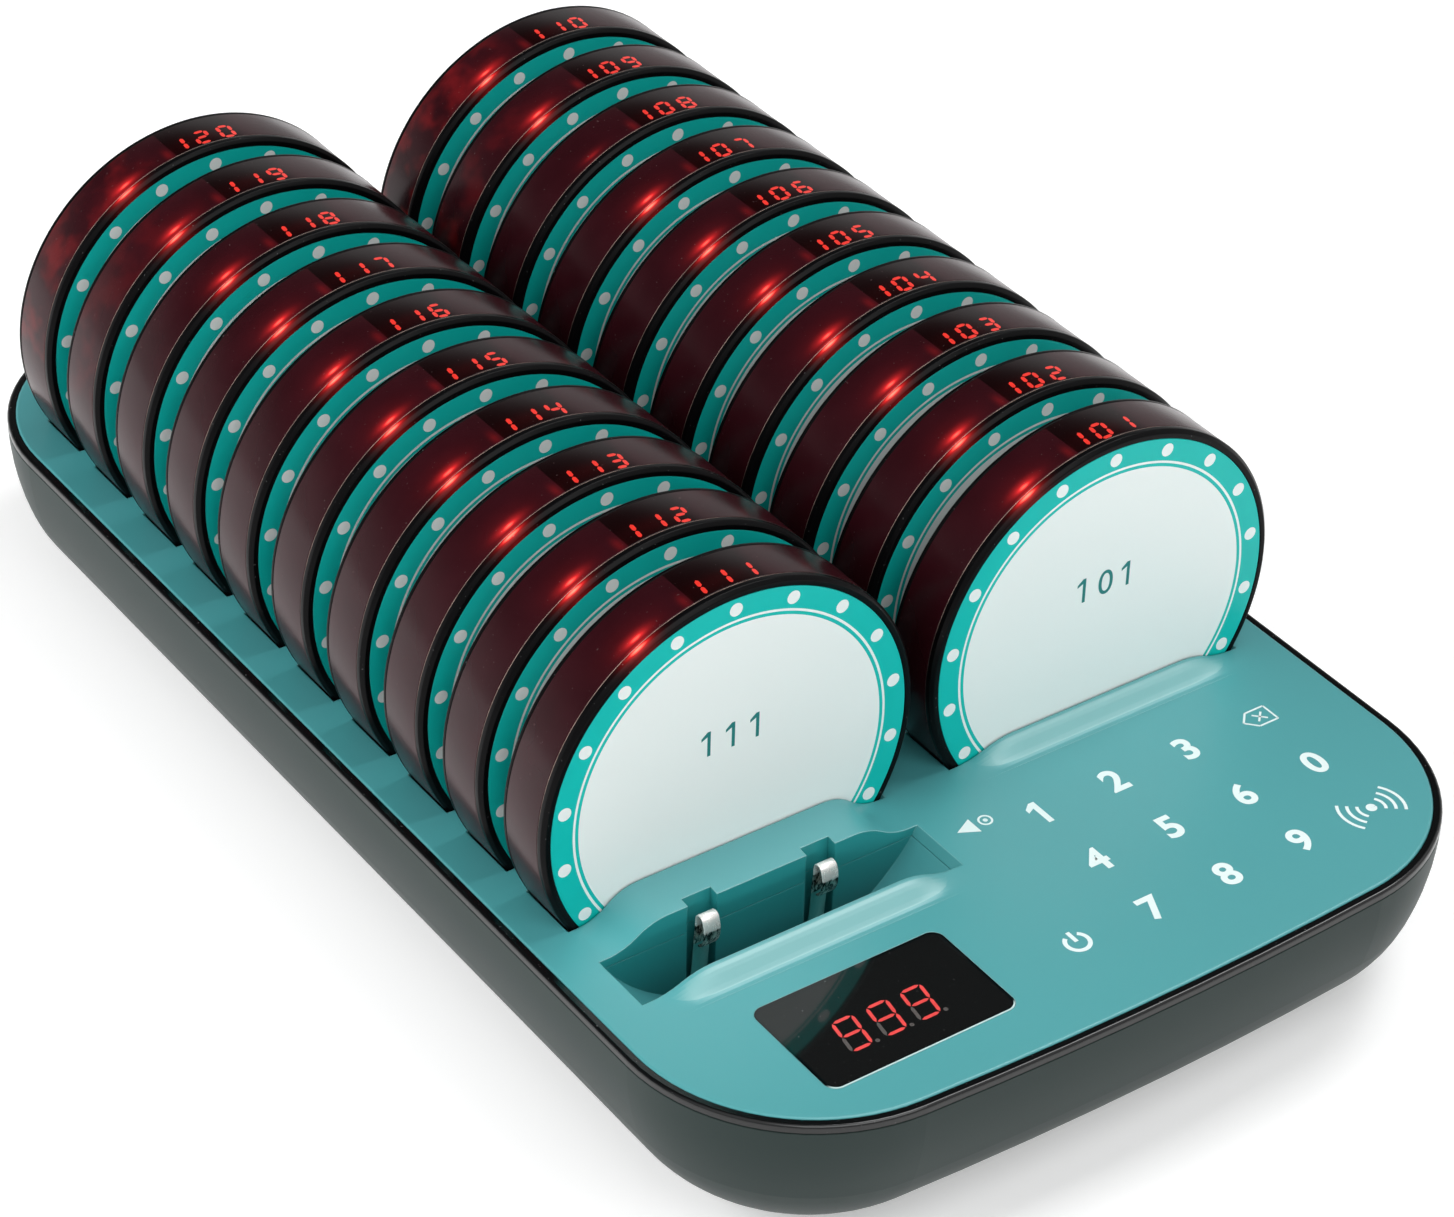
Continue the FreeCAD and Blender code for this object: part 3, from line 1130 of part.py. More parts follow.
def make_pager_pieces(x, y, z):
    """The pieces of the first pager at its own place; x, y, z is its centre and it faces -Y."""
    front = -pager_thickness / 2
    back = pager_thickness / 2
    label_seat = front + label_recess
    front_inside = label_seat + face_wall
    back_inside = back - face_wall
    front_side = front + bezel_side
    back_side_edge = back - back_side
    lens_in = pager_radius - lens_thickness
    spigot_out = lens_in - close_fit
    spigot_in = spigot_out - spigot_wall
    recess_edge = label_radius + close_fit
    screws = []
    for angle in pager_screw_angles:
        turn = math.radians(angle)
        screws.append((x + pager_screw_circle * math.cos(turn), z + pager_screw_circle * math.sin(turn)))

    face = turned("face_turned", "XY_Plane", [
        (0, label_seat), (recess_edge, label_seat), (recess_edge, front), (pager_radius - bezel_bevel, front),
        (pager_radius, front + bezel_bevel), (pager_radius, front_side), (spigot_out, front_side),
        (spigot_out, front_side + spigot_depth), (spigot_in, front_side + spigot_depth),
        (spigot_in, front_inside), (0, front_inside)])
    place(face, x, y, z)
    posts = [rod("face_post_%d" % index, pager_boss_radius, -front_inside + face_wall / 2, px,
                 y + front_inside - face_wall / 2, pz, "y") for index, (px, pz) in enumerate(screws)]
    pilots = [rod("face_pilot_%d" % index, pager_screw_radius + thread_fit, pager_screw_depth(back) + 0.5, px,
                  y - pager_screw_depth(back) - 0.4, pz, "y") for index, (px, pz) in enumerate(screws)]
    face_solid = fuse("face_with_posts", [face, group("face_posts", posts)])
    keep(cut("face_shell", face_solid, group("face_pilots", pilots)), "pager_101_front_shell")

    rear = turned("rear_turned", "XY_Plane", [
        (0, back_inside), (spigot_in, back_inside), (spigot_in, back_side_edge - spigot_depth),
        (spigot_out, back_side_edge - spigot_depth), (spigot_out, back_side_edge),
        (pager_radius, back_side_edge), (pager_radius, back - bezel_bevel),
        (pager_radius - bezel_bevel, back), (0, back)])
    place(rear, x, y, z)
    stands = [rod("rear_post_%d" % index, pager_boss_radius, back_inside - pcb_thickness + face_wall / 2, px,
                  y + pcb_thickness, pz, "y") for index, (px, pz) in enumerate(screws)]
    holes = [rod("rear_hole_%d" % index, pager_screw_radius + hole_fit, back, px, y, pz, "y")
             for index, (px, pz) in enumerate(screws)]
    sinks = [rod("rear_sink_%d" % index, pager_head_radius + hole_fit, pager_head_height + close_fit + 1, px,
                 y + back - pager_head_height - close_fit, pz, "y") for index, (px, pz) in enumerate(screws)]
    for sign in (-1, 1):
        sinks.append(block("pad_seat_%d" % (sign + 1), around(x + notch_offset * sign, pad_width),
                           (y + back - pad_thickness, y + back + 1), around(z - pad_drop, pad_height)))
    rear_solid = fuse("rear_with_posts", [rear, group("rear_posts", stands)])
    drilled = cut("rear_drilled", rear_solid, group("rear_holes", holes))
    keep(cut("rear_shell", drilled, group("rear_sinks", sinks)), "pager_101_rear_shell")

    lens = turned("lens_turned", "XY_Plane", [(lens_in, front_side), (pager_radius, front_side),
                                              (pager_radius, back_side_edge), (lens_in, back_side_edge)])
    keep(place(lens, x, y, z), "pager_101_rim_lens")
    keep(rod("label_disc", label_radius, label_thickness, x, y + label_seat - label_thickness, z, "y"),
         "pager_101_label")

    disc = rod("pcb_disc", pcb_radius, pcb_thickness, x, y, z, "y")
    trims = [rod("pcb_hole_%d" % index, pager_screw_radius + hole_fit, pcb_thickness + 2, px, y - 1, pz, "y")
             for index, (px, pz) in enumerate(screws)]
    trims.append(block("pcb_flat", (x - pcb_radius, x + pcb_radius), (y - 1, y + pcb_thickness + 1),
                       (z + display_level, z + pcb_radius + 1)))
    keep(cut("pcb", disc, group("pcb_trims", trims)), "pager_101_circuit_board")
    keep(block("battery_cell", around(x, battery_width), (y - battery_thickness, y),
               around(z - battery_drop, battery_height)), "pager_101_battery")
    keep(rod("motor_can", motor_radius, motor_thickness, x + motor_side, y + pcb_thickness,
             z + motor_rise, "y"),
         "pager_101_vibration_motor")
    keep(rod("sounder_can", sounder_radius, sounder_thickness, x - sounder_side, y + pcb_thickness,
             z + sounder_rise, "y"),
         "pager_101_sounder")
    lamps = []
    for angle in range(0, ALL_ROUND, LAMP_STEP):
        if angle != 90:
            turn = math.radians(angle)
            lamps.append(rod("lamp_%03d" % angle, led_radius, led_thickness, x + led_circle * math.cos(turn),
                             y - led_thickness, z + led_circle * math.sin(turn), "y"))
    keep(group("lamp_set", lamps), "pager_101_lamps")
    keep(block("number_display_body", around(x, display_width), around(y + display_back, display_depth),
               (z + display_level, z + display_level + display_height)), "pager_101_number_display")
    pads = [block("pad_%d" % (sign + 1), around(x + notch_offset * sign, pad_width),
                  (y + back - pad_thickness, y + back), around(z - pad_drop, pad_height)) for sign in (-1, 1)]
    keep(group("pad_set", pads), "pager_101_charge_pads")
    fixings = []
    seat = back - pager_head_height - close_fit
    for index, (px, pz) in enumerate(screws):
        fixings.append(fuse("pager_screw_%d" % index, [
            rod("pager_head_%d" % index, pager_head_radius, pager_head_height, px, y + seat, pz, "y"),
            rod("pager_shank_%d" % index, pager_screw_radius, pager_screw_length, px,
                y + seat - pager_screw_length, pz, "y")]))
    keep(group("pager_screw_set", fixings), "pager_101_screws")


def pager_screw_depth(back):
    """How deep a pager's screws reach in front of its board's front side."""
    return pager_screw_length - back + pager_head_height + close_fit


def make_pagers():
    before = len(kept)
    make_pager_pieces(column_offset, -first_pager, axis_level)
    pager = group("pager_101", kept[before:])
    for column, x in enumerate((0, column_offset * -2)):
        for index in range(PAGERS_IN_ROW):
            if column or index:
                number = 101 + PAGERS_IN_ROW * column + index
                keep(copy("pager_copy_%d" % number, pager, x, row_pitch * index), "pager_%d" % number)


# ---------------------------------------------------------------- run

def check_and_write():
    doc.recompute()
    for thing in doc.Objects:
        if "Invalid" in thing.State or "Error" in thing.State:
            raise RuntimeError("%s failed: %s" % (thing.Name, thing.State))
    for thing in kept:
        if thing.Shape.isNull() or not thing.Shape.isValid() or not thing.Shape.Solids:
            raise RuntimeError("%s has no valid solid" % thing.Label)
    os.makedirs("parts", exist_ok=True)
    for thing in kept:
        thing.Shape.exportStep("parts/%s.step" % thing.Label)
        print("%-28s %3d solids %10.0f mm3" % (thing.Label, len(thing.Shape.Solids), thing.Shape.Volume))


make_bottom_shell()
make_trim_ring()
make_top_cover()
make_screws()
make_feet()
make_base_electronics()
make_contacts()
make_inlet()
make_switch()
make_leads()
make_pagers()
check_and_write()
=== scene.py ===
import math

import bmesh
import bpy
import numpy as np
from mathutils import Matrix, Vector


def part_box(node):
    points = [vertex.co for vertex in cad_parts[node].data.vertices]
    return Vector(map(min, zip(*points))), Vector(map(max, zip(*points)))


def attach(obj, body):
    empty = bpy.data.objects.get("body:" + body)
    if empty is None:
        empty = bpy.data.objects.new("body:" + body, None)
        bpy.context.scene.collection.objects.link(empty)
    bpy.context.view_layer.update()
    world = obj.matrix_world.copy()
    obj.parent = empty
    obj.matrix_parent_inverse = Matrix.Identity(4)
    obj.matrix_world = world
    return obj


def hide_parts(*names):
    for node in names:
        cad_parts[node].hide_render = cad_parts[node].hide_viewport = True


# Looks of a guest pager system: a teal charging base with a touch keypad, twenty round pagers with
# smoked rims and red figures, and one open setting slot. Everything is in metres.

MM = 0.001
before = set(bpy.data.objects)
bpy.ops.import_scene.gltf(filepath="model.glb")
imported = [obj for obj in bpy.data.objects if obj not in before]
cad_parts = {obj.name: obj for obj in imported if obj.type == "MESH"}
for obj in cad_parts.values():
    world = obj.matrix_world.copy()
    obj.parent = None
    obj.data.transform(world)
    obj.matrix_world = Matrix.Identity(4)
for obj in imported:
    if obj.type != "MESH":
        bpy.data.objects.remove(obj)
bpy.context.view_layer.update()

# ---- places taken from the frame

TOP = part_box("display_window")[1][2]             # level of the cover's flat top
WINDOW_LOW, WINDOW_HIGH = (Vector(corner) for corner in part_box("display_window"))
FACE_LOW, FACE_HIGH = (Vector(corner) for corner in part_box("pager_101_front_shell"))
BACK_HIGH = Vector(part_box("pager_101_rear_shell")[1])
PAGER_RADIUS = (FACE_HIGH[0] - FACE_LOW[0]) / 2
PAGER_DEPTH = BACK_HIGH[1] - FACE_LOW[1]
PAGERS = list(range(101, 121))

# ---- sizes of the pieces made here

WINDOW_CORNER = 3.0 * MM
LABEL_RADIUS = 45.35 * MM
RECESS_RADIUS = 45.45 * MM
BEZEL_SIDE = 2.2 * MM
BACK_SIDE = 1.6 * MM
LENS_SET_IN = 0.04 * MM          # lens stands this far inside the bezel's edge
TURN_STEPS = 192
FACE_UV = 100.0                  # millimetres across a face that one unit of its UV map stands for

RIM_DIGIT_ANGLE = math.radians(90.4)
RIM_DIGIT_PITCH = 6.42 * MM
RIM_DIGIT_WIDTH = 3.3 * MM
RIM_DIGIT_HEIGHT = 6.05 * MM
RIM_DIGIT_BACK = 5.45 * MM       # middle of the figures behind the pager's face
RIM_SEGMENT = 1.0 * MM
RIM_SLANT = math.tan(math.radians(6))

BASE_DIGIT_PITCH = 8.7 * MM
BASE_DIGIT_WIDTH = 5.1 * MM
BASE_DIGIT_HEIGHT = 9.9 * MM
BASE_SEGMENT = 0.84 * MM
BASE_SLANT = math.tan(math.radians(9))
BASE_FIGURES_AT = (-51.9 * MM, -148.3 * MM)

KEY_COLUMNS = [-4.2 * MM, 16.3 * MM, 36.7 * MM, 57.4 * MM, 78.0 * MM]
KEY_ROWS = [-112.7 * MM, -132.1 * MM, -151.2 * MM]
KEY_HEIGHT = 7.6 * MM
KEY_STROKE = 0.19                 # width of a key figure's stem, as a share of its height
KEY_BOLD = 0.03                   # how far the font's figures are fattened, as a share of their height
PRINT_LIFT = 0.02 * MM
ONE_FLAG = 0.24                   # reach of the flag of the figure one, as a share of its height

# Print on a pager's label, in millimetres from its middle.
LABEL_LINE = (38.6, 39.4)
RING_INSIDE = 40.0
DOT_CIRCLE = 42.6
DOT_RADIUS = 1.62
DOT_COUNT = 18

# Places round a pager in degrees from its right, counterclockwise, and behind its face in millimetres.
LAMP_ANGLE = 118.0
LAMP_DEPTH = 3.9
STREAK_ANGLE = 119.5
STREAK_DEPTH = 1.35
WINDOW_RISE = (76.0, 82.0)
WINDOW_FALL = (100.9, 101.1)
CAST_RISE = (104.0, 116.0)
CAST_FALL = (168.0, 184.0)
SHOULDER_RISE = (52.0, 88.0)
SHOULDER_FALL = (150.0, 178.0)

# Levels on a contact leaf, below its tip.
PAINTED_BRIGHT_BELOW_TIP = 3.7 * MM
FOOT_BELOW_TIP = 8.8 * MM

SEVEN_SEGMENTS = {"0": "abcdef", "1": "bc", "2": "abged", "3": "abgcd", "4": "fgbc", "5": "afgcd",
                  "6": "afgedc", "7": "abc", "8": "abcdefg", "9": "abcdfg"}


# ---- meshes

def mesh_piece(name, points, faces, uv=None, smooth=True):
    """A mesh object at the origin from arrays of points and faces, with one UV pair for each corner."""
    mesh = bpy.data.meshes.new(name)
    mesh.from_pydata(points.tolist(), [], faces.tolist())
    if uv is not None:
        layer = mesh.uv_layers.new(name="UVMap")
        layer.data.foreach_set("uv", np.ascontiguousarray(uv, dtype=np.float32).ravel())
    mesh.polygons.foreach_set("use_smooth", np.full(len(mesh.polygons), smooth))
    piece = bpy.data.objects.new(name, mesh)
    bpy.context.scene.collection.objects.link(piece)
    return piece


def grid_faces(rows, columns, wrap):
    """Quads of a grid of rows by columns, closed round the rows where wrap is true."""
    steps = rows if wrap else rows - 1
    i, j = np.meshgrid(np.arange(steps), np.arange(columns - 1), indexing="ij")
    following = (i + 1) % rows
    corners = [i * columns + j, following * columns + j, following * columns + j + 1, i * columns + j + 1]
    return np.stack([corner.ravel() for corner in corners], axis=1), i.ravel(), j.ravel()


def turned(name, profile, centre, uv="rim"):
    """A profile of (radius, depth) carried round a pager's axis.

    Point = centre + (radius cos a, depth, radius sin a), for the angle a in equal steps over a full turn.
    uv "rim" stores (a in turns, depth over the pager's thickness); uv "face" stores the place on the
    face as 0.5 + offset / FACE_UV, in millimetres.
    """
    profile = np.array(profile)
    count = len(profile)
    angle = np.arange(TURN_STEPS) * 2 * math.pi / TURN_STEPS
    radius, depth = profile[:, 0], profile[:, 1]
    x = centre[0] + np.cos(angle)[:, None] * radius
    z = centre[2] + np.sin(angle)[:, None] * radius
    y = centre[1] + np.zeros(TURN_STEPS)[:, None] + depth
    points = np.stack([x, y, z], axis=2).reshape(-1, 3)
    faces, row, column = grid_faces(TURN_STEPS, count, True)
    if uv == "rim":
        turns = np.stack([row, row + 1, row + 1, row], axis=1) / TURN_STEPS
        along = depth[np.stack([column, column, column + 1, column + 1], axis=1)] / PAGER_DEPTH
        coordinates = np.stack([turns, along], axis=2)
    else:
        offset = points[faces][:, :, [0, 2]] - np.array([centre[0], centre[2]])
        coordinates = 0.5 + offset / (FACE_UV * MM)
    piece = mesh_piece(name, points, faces, coordinates)
    close_poles(piece)
    return piece


def close_poles(piece):
    """Merge the points that meet on the axis, and drop faces that have no area there."""
    work = bmesh.new()
    work.from_mesh(piece.data)
    bmesh.ops.remove_doubles(work, verts=work.verts, dist=1e-7)
    bmesh.ops.dissolve_degenerate(work, edges=work.edges, dist=1e-8)
    bmesh.ops.recalc_face_normals(work, faces=work.faces)
    work.to_mesh(piece.data)
    work.free()


def rounded(corners, radii, steps=5):
    """A profile through corners, each cut by an arc of its radius.

    The tangent points lie radius / tan(half the corner's angle) from the corner, and the arc's centre lies
    radius / sin(half the corner's angle) from it.
    """
    corners = [np.array(corner, dtype=float) for corner in corners]
    points = [corners[0]]
    for before, corner, after, radius in zip(corners, corners[1:], corners[2:], radii[1:-1]):
        if radius <= 0:
            points.append(corner)
            continue
        back = (before - corner) / np.linalg.norm(before - corner)
        ahead = (after - corner) / np.linalg.norm(after - corner)
        half = math.acos(np.clip(np.dot(back, ahead), -1, 1)) / 2
        reach = radius / math.tan(half)
        middle = (back + ahead) / np.linalg.norm(back + ahead)
        centre = corner + middle * radius / math.sin(half)
        first, last = corner + back * reach - centre, corner + ahead * reach - centre
        start = math.atan2(first[1], first[0])
        turn = math.atan2(last[1], last[0]) - start
        turn = (turn + math.pi) % (2 * math.pi) - math.pi
        for share in np.linspace(0, 1, steps + 1):
            angle = start + turn * share
            points.append(centre + radius * np.array([math.cos(angle), math.sin(angle)]))
    points.append(corners[-1])
    return points


def segment_grid(length, width, columns=7, rows=3):
    """One lit bar with pointed ends, lying along its own x axis.

    Point = (s length / 2, t width / 2 min(1, (1 - |s|) length / width + blunt)), for s and t from -1 to 1.
    """
    blunt = 0.12
    s, t = np.meshgrid(np.linspace(-1, 1, columns), np.linspace(-1, 1, rows), indexing="ij")
    taper = np.minimum(1, (1 - np.abs(s)) * length / width + blunt)
    return np.stack([s * length / 2, t * width / 2 * taper], axis=2).reshape(-1, 2), columns, rows


def figure_bars(bars, width, height, thick, slant):
    """The bars of one seven-segment figure about its centre: three level ones and four upright ones,
    each leaned by slant times its height, with gaps of 0.3 of their thickness at the corners."""
    gap = thick * 0.3
    level, columns, rows = segment_grid(width - gap * 2 - thick * 0.35, thick)
    upright, _, _ = segment_grid(height / 2 - gap * 2 - thick * 0.1, thick)
    upright = upright[:, ::-1]
    half_w, half_h = (width - thick * 0.2) / 2, (height - thick) / 2
    places = {"a": (level, 0, half_h), "g": (level, 0, 0), "d": (level, 0, -half_h),
              "f": (upright, -half_w, half_h / 2), "b": (upright, half_w, half_h / 2),
              "e": (upright, -half_w, -half_h / 2), "c": (upright, half_w, -half_h / 2)}
    points = []
    for bar in bars:
        shape, x, y = places[bar]
        placed = shape + np.array([x, y])
        placed[:, 0] += placed[:, 1] * slant
        points.append(placed)
    faces, _, _ = grid_faces(columns, rows, False)
    return points, faces


def facing(points, faces):
    """Faces of a flat shape, each turned counterclockwise: one whose first corner has a negative cross
    product of its two sides is written backwards."""
    first, second, last = (points[faces[:, corner]] for corner in (0, 1, -1))
    ahead, back = second - first, last - first
    turned_over = ahead[:, 0] * back[:, 1] - ahead[:, 1] * back[:, 0] < 0
    return np.where(turned_over[:, None], faces[:, ::-1], faces)


def bars_mesh(name, groups, faces, to_space):
    """Join many bars into one mesh; to_space turns flat points into points in the room."""
    count = len(groups[0])
    points = np.concatenate([to_space(group) for group in groups])
    every = np.concatenate([facing(group, faces) + count * index for index, group in enumerate(groups)])
    return mesh_piece(name, points, every, smooth=False)


# ---- materials

def linear(red, green, blue):
    """A colour written as 0 to 255 on a screen, as linear light."""
    values = [value / 255 for value in (red, green, blue)]
    return tuple(value / 12.92 if value <= 0.04045 else ((value + 0.055) / 1.055) ** 2.4
                 for value in values) + (1,)


class Net:
    """Short calls for a node tree: each adds one node and returns its output."""

    def __init__(self, tree):
        self.tree = tree

    def node(self, kind, **settings):
        node = self.tree.nodes.new(kind)
        for name, value in settings.items():
            setattr(node, name, value)
        return node

    def put(self, socket, value):
        if isinstance(value, bpy.types.NodeSocket):
            self.tree.links.new(value, socket)
        else:
            socket.default_value = value

    def math(self, operation, first, second=0.0, third=0.0):
        node = self.node("ShaderNodeMath", operation=operation)
        for socket, value in zip(node.inputs, (first, second, third)):
            self.put(socket, value)
        return node.outputs[0]

    def times(self, first, *others):
        """The product of two or more values."""
        for other in others:
            first = self.math("MULTIPLY", first, other)
        return first

    def between(self, value, low, high):
        """1 from low to high and 0 elsewhere."""
        return self.times(self.math("GREATER_THAN", value, low), self.math("LESS_THAN", value, high))

    def span(self, value, rise, fall, before=0.0, after=0.0):
        """Rises from before to 1 over the pair rise, and falls from 1 to after over the pair fall."""
        return self.times(self.range(value, before, 1.0, *rise), self.range(value, 1.0, after, *fall))

    def bell(self, value, centre, width):
        """1 at the centre, falling as exp(-((value - centre) / width) squared)."""
        away = self.math("DIVIDE", self.math("SUBTRACT", value, centre), width)
        return self.math("EXPONENT", self.times(away, away, -1.0))

    def blend(self, share, first, second):
        node = self.node("ShaderNodeMix", data_type="RGBA")
        self.put(node.inputs["Factor"], share)
        self.put(node.inputs[6], first)
        self.put(node.inputs[7], second)
        return node.outputs[2]

    def noise(self, vector, scale, detail=2.0, roughness=0.5):
        node = self.node("ShaderNodeTexNoise")
        self.put(node.inputs["Vector"], vector)
        self.put(node.inputs["Scale"], scale)
        self.put(node.inputs["Detail"], detail)
        self.put(node.inputs["Roughness"], roughness)
        return node.outputs["Fac"]

    def range(self, value, low, high, start=0.0, end=1.0):
        """Value carried evenly from start..end to low..high, with eased ends."""
        node = self.node("ShaderNodeMapRange", interpolation_type="SMOOTHSTEP")
        self.put(node.inputs["Value"], value)
        self.put(node.inputs["From Min"], start)
        self.put(node.inputs["From Max"], end)
        self.put(node.inputs["To Min"], low)
        self.put(node.inputs["To Max"], high)
        return node.outputs[0]

    def xy(self, vector):
        node = self.node("ShaderNodeSeparateXYZ")
        self.put(node.inputs[0], vector)
        return node.outputs

    def bump(self, height, strength, distance, edge=0.0):
        """A bump, over normals that are rounded off within edge of a sharp corner where edge isn't zero."""
        node = self.node("ShaderNodeBump")
        if edge:
            corner = self.node("ShaderNodeBevel", samples=6)
            corner.inputs["Radius"].default_value = edge
            self.put(node.inputs["Normal"], corner.outputs[0])
        self.put(node.inputs["Height"], height)
        self.put(node.inputs["Strength"], strength)
        self.put(node.inputs["Distance"], distance)
        return node.outputs[0]


def moulded_grain_group():
    """Fine moulding grain: an even noise for the bump and a slower one that shifts the colour a little."""
    group = bpy.data.node_groups.new("moulded_grain", "ShaderNodeTree")
    for name, kind in (("Vector", "NodeSocketVector"), ("Grain Scale", "NodeSocketFloat"),
                       ("Cloud Scale", "NodeSocketFloat"), ("Variation", "NodeSocketFloat"),
                       ("Color", "NodeSocketColor"), ("Roughness", "NodeSocketFloat")):
        group.interface.new_socket(name, in_out="INPUT", socket_type=kind)
    for name, kind in (("Color", "NodeSocketColor"), ("Roughness", "NodeSocketFloat"),
                       ("Height", "NodeSocketFloat")):
        group.interface.new_socket(name, in_out="OUTPUT", socket_type=kind)
    net = Net(group)
    given = net.node("NodeGroupInput").outputs
    result = net.node("NodeGroupOutput").inputs
    grain = net.noise(given["Vector"], given["Grain Scale"], 3.0, 0.6)
    cloud = net.noise(given["Vector"], given["Cloud Scale"], 2.0, 0.5)
    shift = net.times(net.math("SUBTRACT", cloud, 0.5), given["Variation"])
    tone = net.node("ShaderNodeHueSaturation")
    net.put(tone.inputs["Color"], given["Color"])
    net.put(tone.inputs["Value"], net.math("ADD", shift, 1.0))
    net.put(result["Color"], tone.outputs[0])
    net.put(result["Roughness"], net.math("ADD", given["Roughness"], net.times(shift, 0.5)))
    net.put(result["Height"], grain)
    return group


def dust_group():
    """Sparse specks: 1 where a fine noise passes its threshold, fading over a narrow band."""
    group = bpy.data.node_groups.new("dust_specks", "ShaderNodeTree")
    for name, kind in (("Vector", "NodeSocketVector"), ("Scale", "NodeSocketFloat"),
                       ("Threshold", "NodeSocketFloat")):
        group.interface.new_socket(name, in_out="INPUT", socket_type=kind)
    group.interface.new_socket("Mask", in_out="OUTPUT", socket_type="NodeSocketFloat")
    net = Net(group)
    given = net.node("NodeGroupInput").outputs
    result = net.node("NodeGroupOutput").inputs
    speck = net.noise(given["Vector"], given["Scale"], 1.0, 0.4)
    above = net.math("SUBTRACT", speck, given["Threshold"])
    net.put(result["Mask"], net.range(above, 0.0, 1.0, 0.0, 0.03))
    return group


GRAIN = moulded_grain_group()
DUST = dust_group()


def new_material(name):
    """A material with its Principled shader, and a Net on its tree."""
    material = bpy.data.materials.new(name)
    material.use_nodes = True
    net = Net(material.node_tree)
    shader = material.node_tree.nodes["Principled BSDF"]
    return material, net, shader


def dust(net, place, threshold=0.76, scale=1500.0):
    """A mask of fine specks."""
    group = net.node("ShaderNodeGroup", node_tree=DUST)
    net.put(group.inputs["Vector"], place)
    group.inputs["Scale"].default_value = scale
    group.inputs["Threshold"].default_value = threshold
    return group.outputs["Mask"]


def cover_tone(net, tone, place, walls, edge):
    """The cover's colour by where its faces lie.

    Upright faces take the painted shade colour walls, and less than half of it far down in a slot, as
    painted shade. Slopes of the ridges that face the keypad end take a paler painted highlight. Near a
    sharp corner the rounded normal's height differs from the face's own, and the lip there takes the palest
    painted highlight, on the top only.
    """
    normal = net.xy(net.node("ShaderNodeTexCoord").outputs["Normal"])
    to_front, facing_up = normal[1], normal[2]
    level = net.xy(place)[2]
    # Painted shade: upright faces darker, and darker still far down in a slot.
    upright = net.range(net.math("ABSOLUTE", facing_up), 1.0, 0.0, 0.15, 0.6)
    painted_shade_down = net.range(level, 1.0, 0.0, TOP - 16 * MM, TOP + 2 * MM)
    painted_slot_shade = tuple(value * 0.45 for value in walls[:3]) + (1,)
    tone = net.blend(upright, tone, net.blend(painted_shade_down, walls, painted_slot_shade))

    # Painted highlight on the ridges' slopes that face the keypad end.
    raised = net.math("GREATER_THAN", level, TOP + 0.4 * MM)
    painted_slope_highlight = net.times(net.range(to_front, 1.0, 0.0, -0.3, -0.03), raised,
                      net.range(facing_up, 0.0, 0.42, 0.5, 0.8))
    tone = net.blend(painted_slope_highlight, tone, linear(150, 196, 194))

    # Painted highlight: a pale line along the lips of sharp corners on the cover's top.
    corner = net.node("ShaderNodeBevel", samples=8)
    corner.inputs["Radius"].default_value = edge
    turned_by = net.math("ABSOLUTE", net.math("SUBTRACT", net.xy(corner.outputs[0])[2], facing_up))
    on_top = net.math("GREATER_THAN", level, TOP - 1.5 * MM)
    painted_lip_highlight = net.times(net.range(turned_by, 0.0, 0.8, 0.12, 0.4), on_top)
    return net.blend(painted_lip_highlight, tone, linear(178, 226, 226))


def moulded(name, colour, roughness, grain=900.0, depth=0.02, variation=0.06, cloud=14.0, metallic=0.0,
            specular=0.5, edge=0.0, specks=0.0, walls=None):
    """Moulded plastic, rubber or metal: a colour with slow variation, a fine even grain, a few specks
    of dust on a polished piece and, where walls is given, the cover's painted shade on its upright
    faces and painted highlights on its slopes and lips."""
    material, net, shader = new_material(name)
    place = net.node("ShaderNodeTexCoord").outputs["Object"]
    group = net.node("ShaderNodeGroup", node_tree=GRAIN)
    net.put(group.inputs["Vector"], place)
    for setting, value in (("Grain Scale", grain), ("Cloud Scale", cloud), ("Variation", variation),
                           ("Color", colour), ("Roughness", roughness)):
        group.inputs[setting].default_value = value
    tone = group.outputs["Color"]
    # The cover's painted shade and painted highlights.
    if walls:
        tone = cover_tone(net, tone, place, walls, edge)
    if specks:
        tone = net.blend(net.times(dust(net, place), specks), tone, linear(150, 150, 150))
    net.put(shader.inputs["Base Color"], tone)
    net.put(shader.inputs["Roughness"], group.outputs["Roughness"])
    net.put(shader.inputs["Normal"], net.bump(group.outputs["Height"], depth, 0.1 * MM, edge))
    shader.inputs["Metallic"].default_value = metallic
    shader.inputs["Specular IOR Level"].default_value = specular
    return material


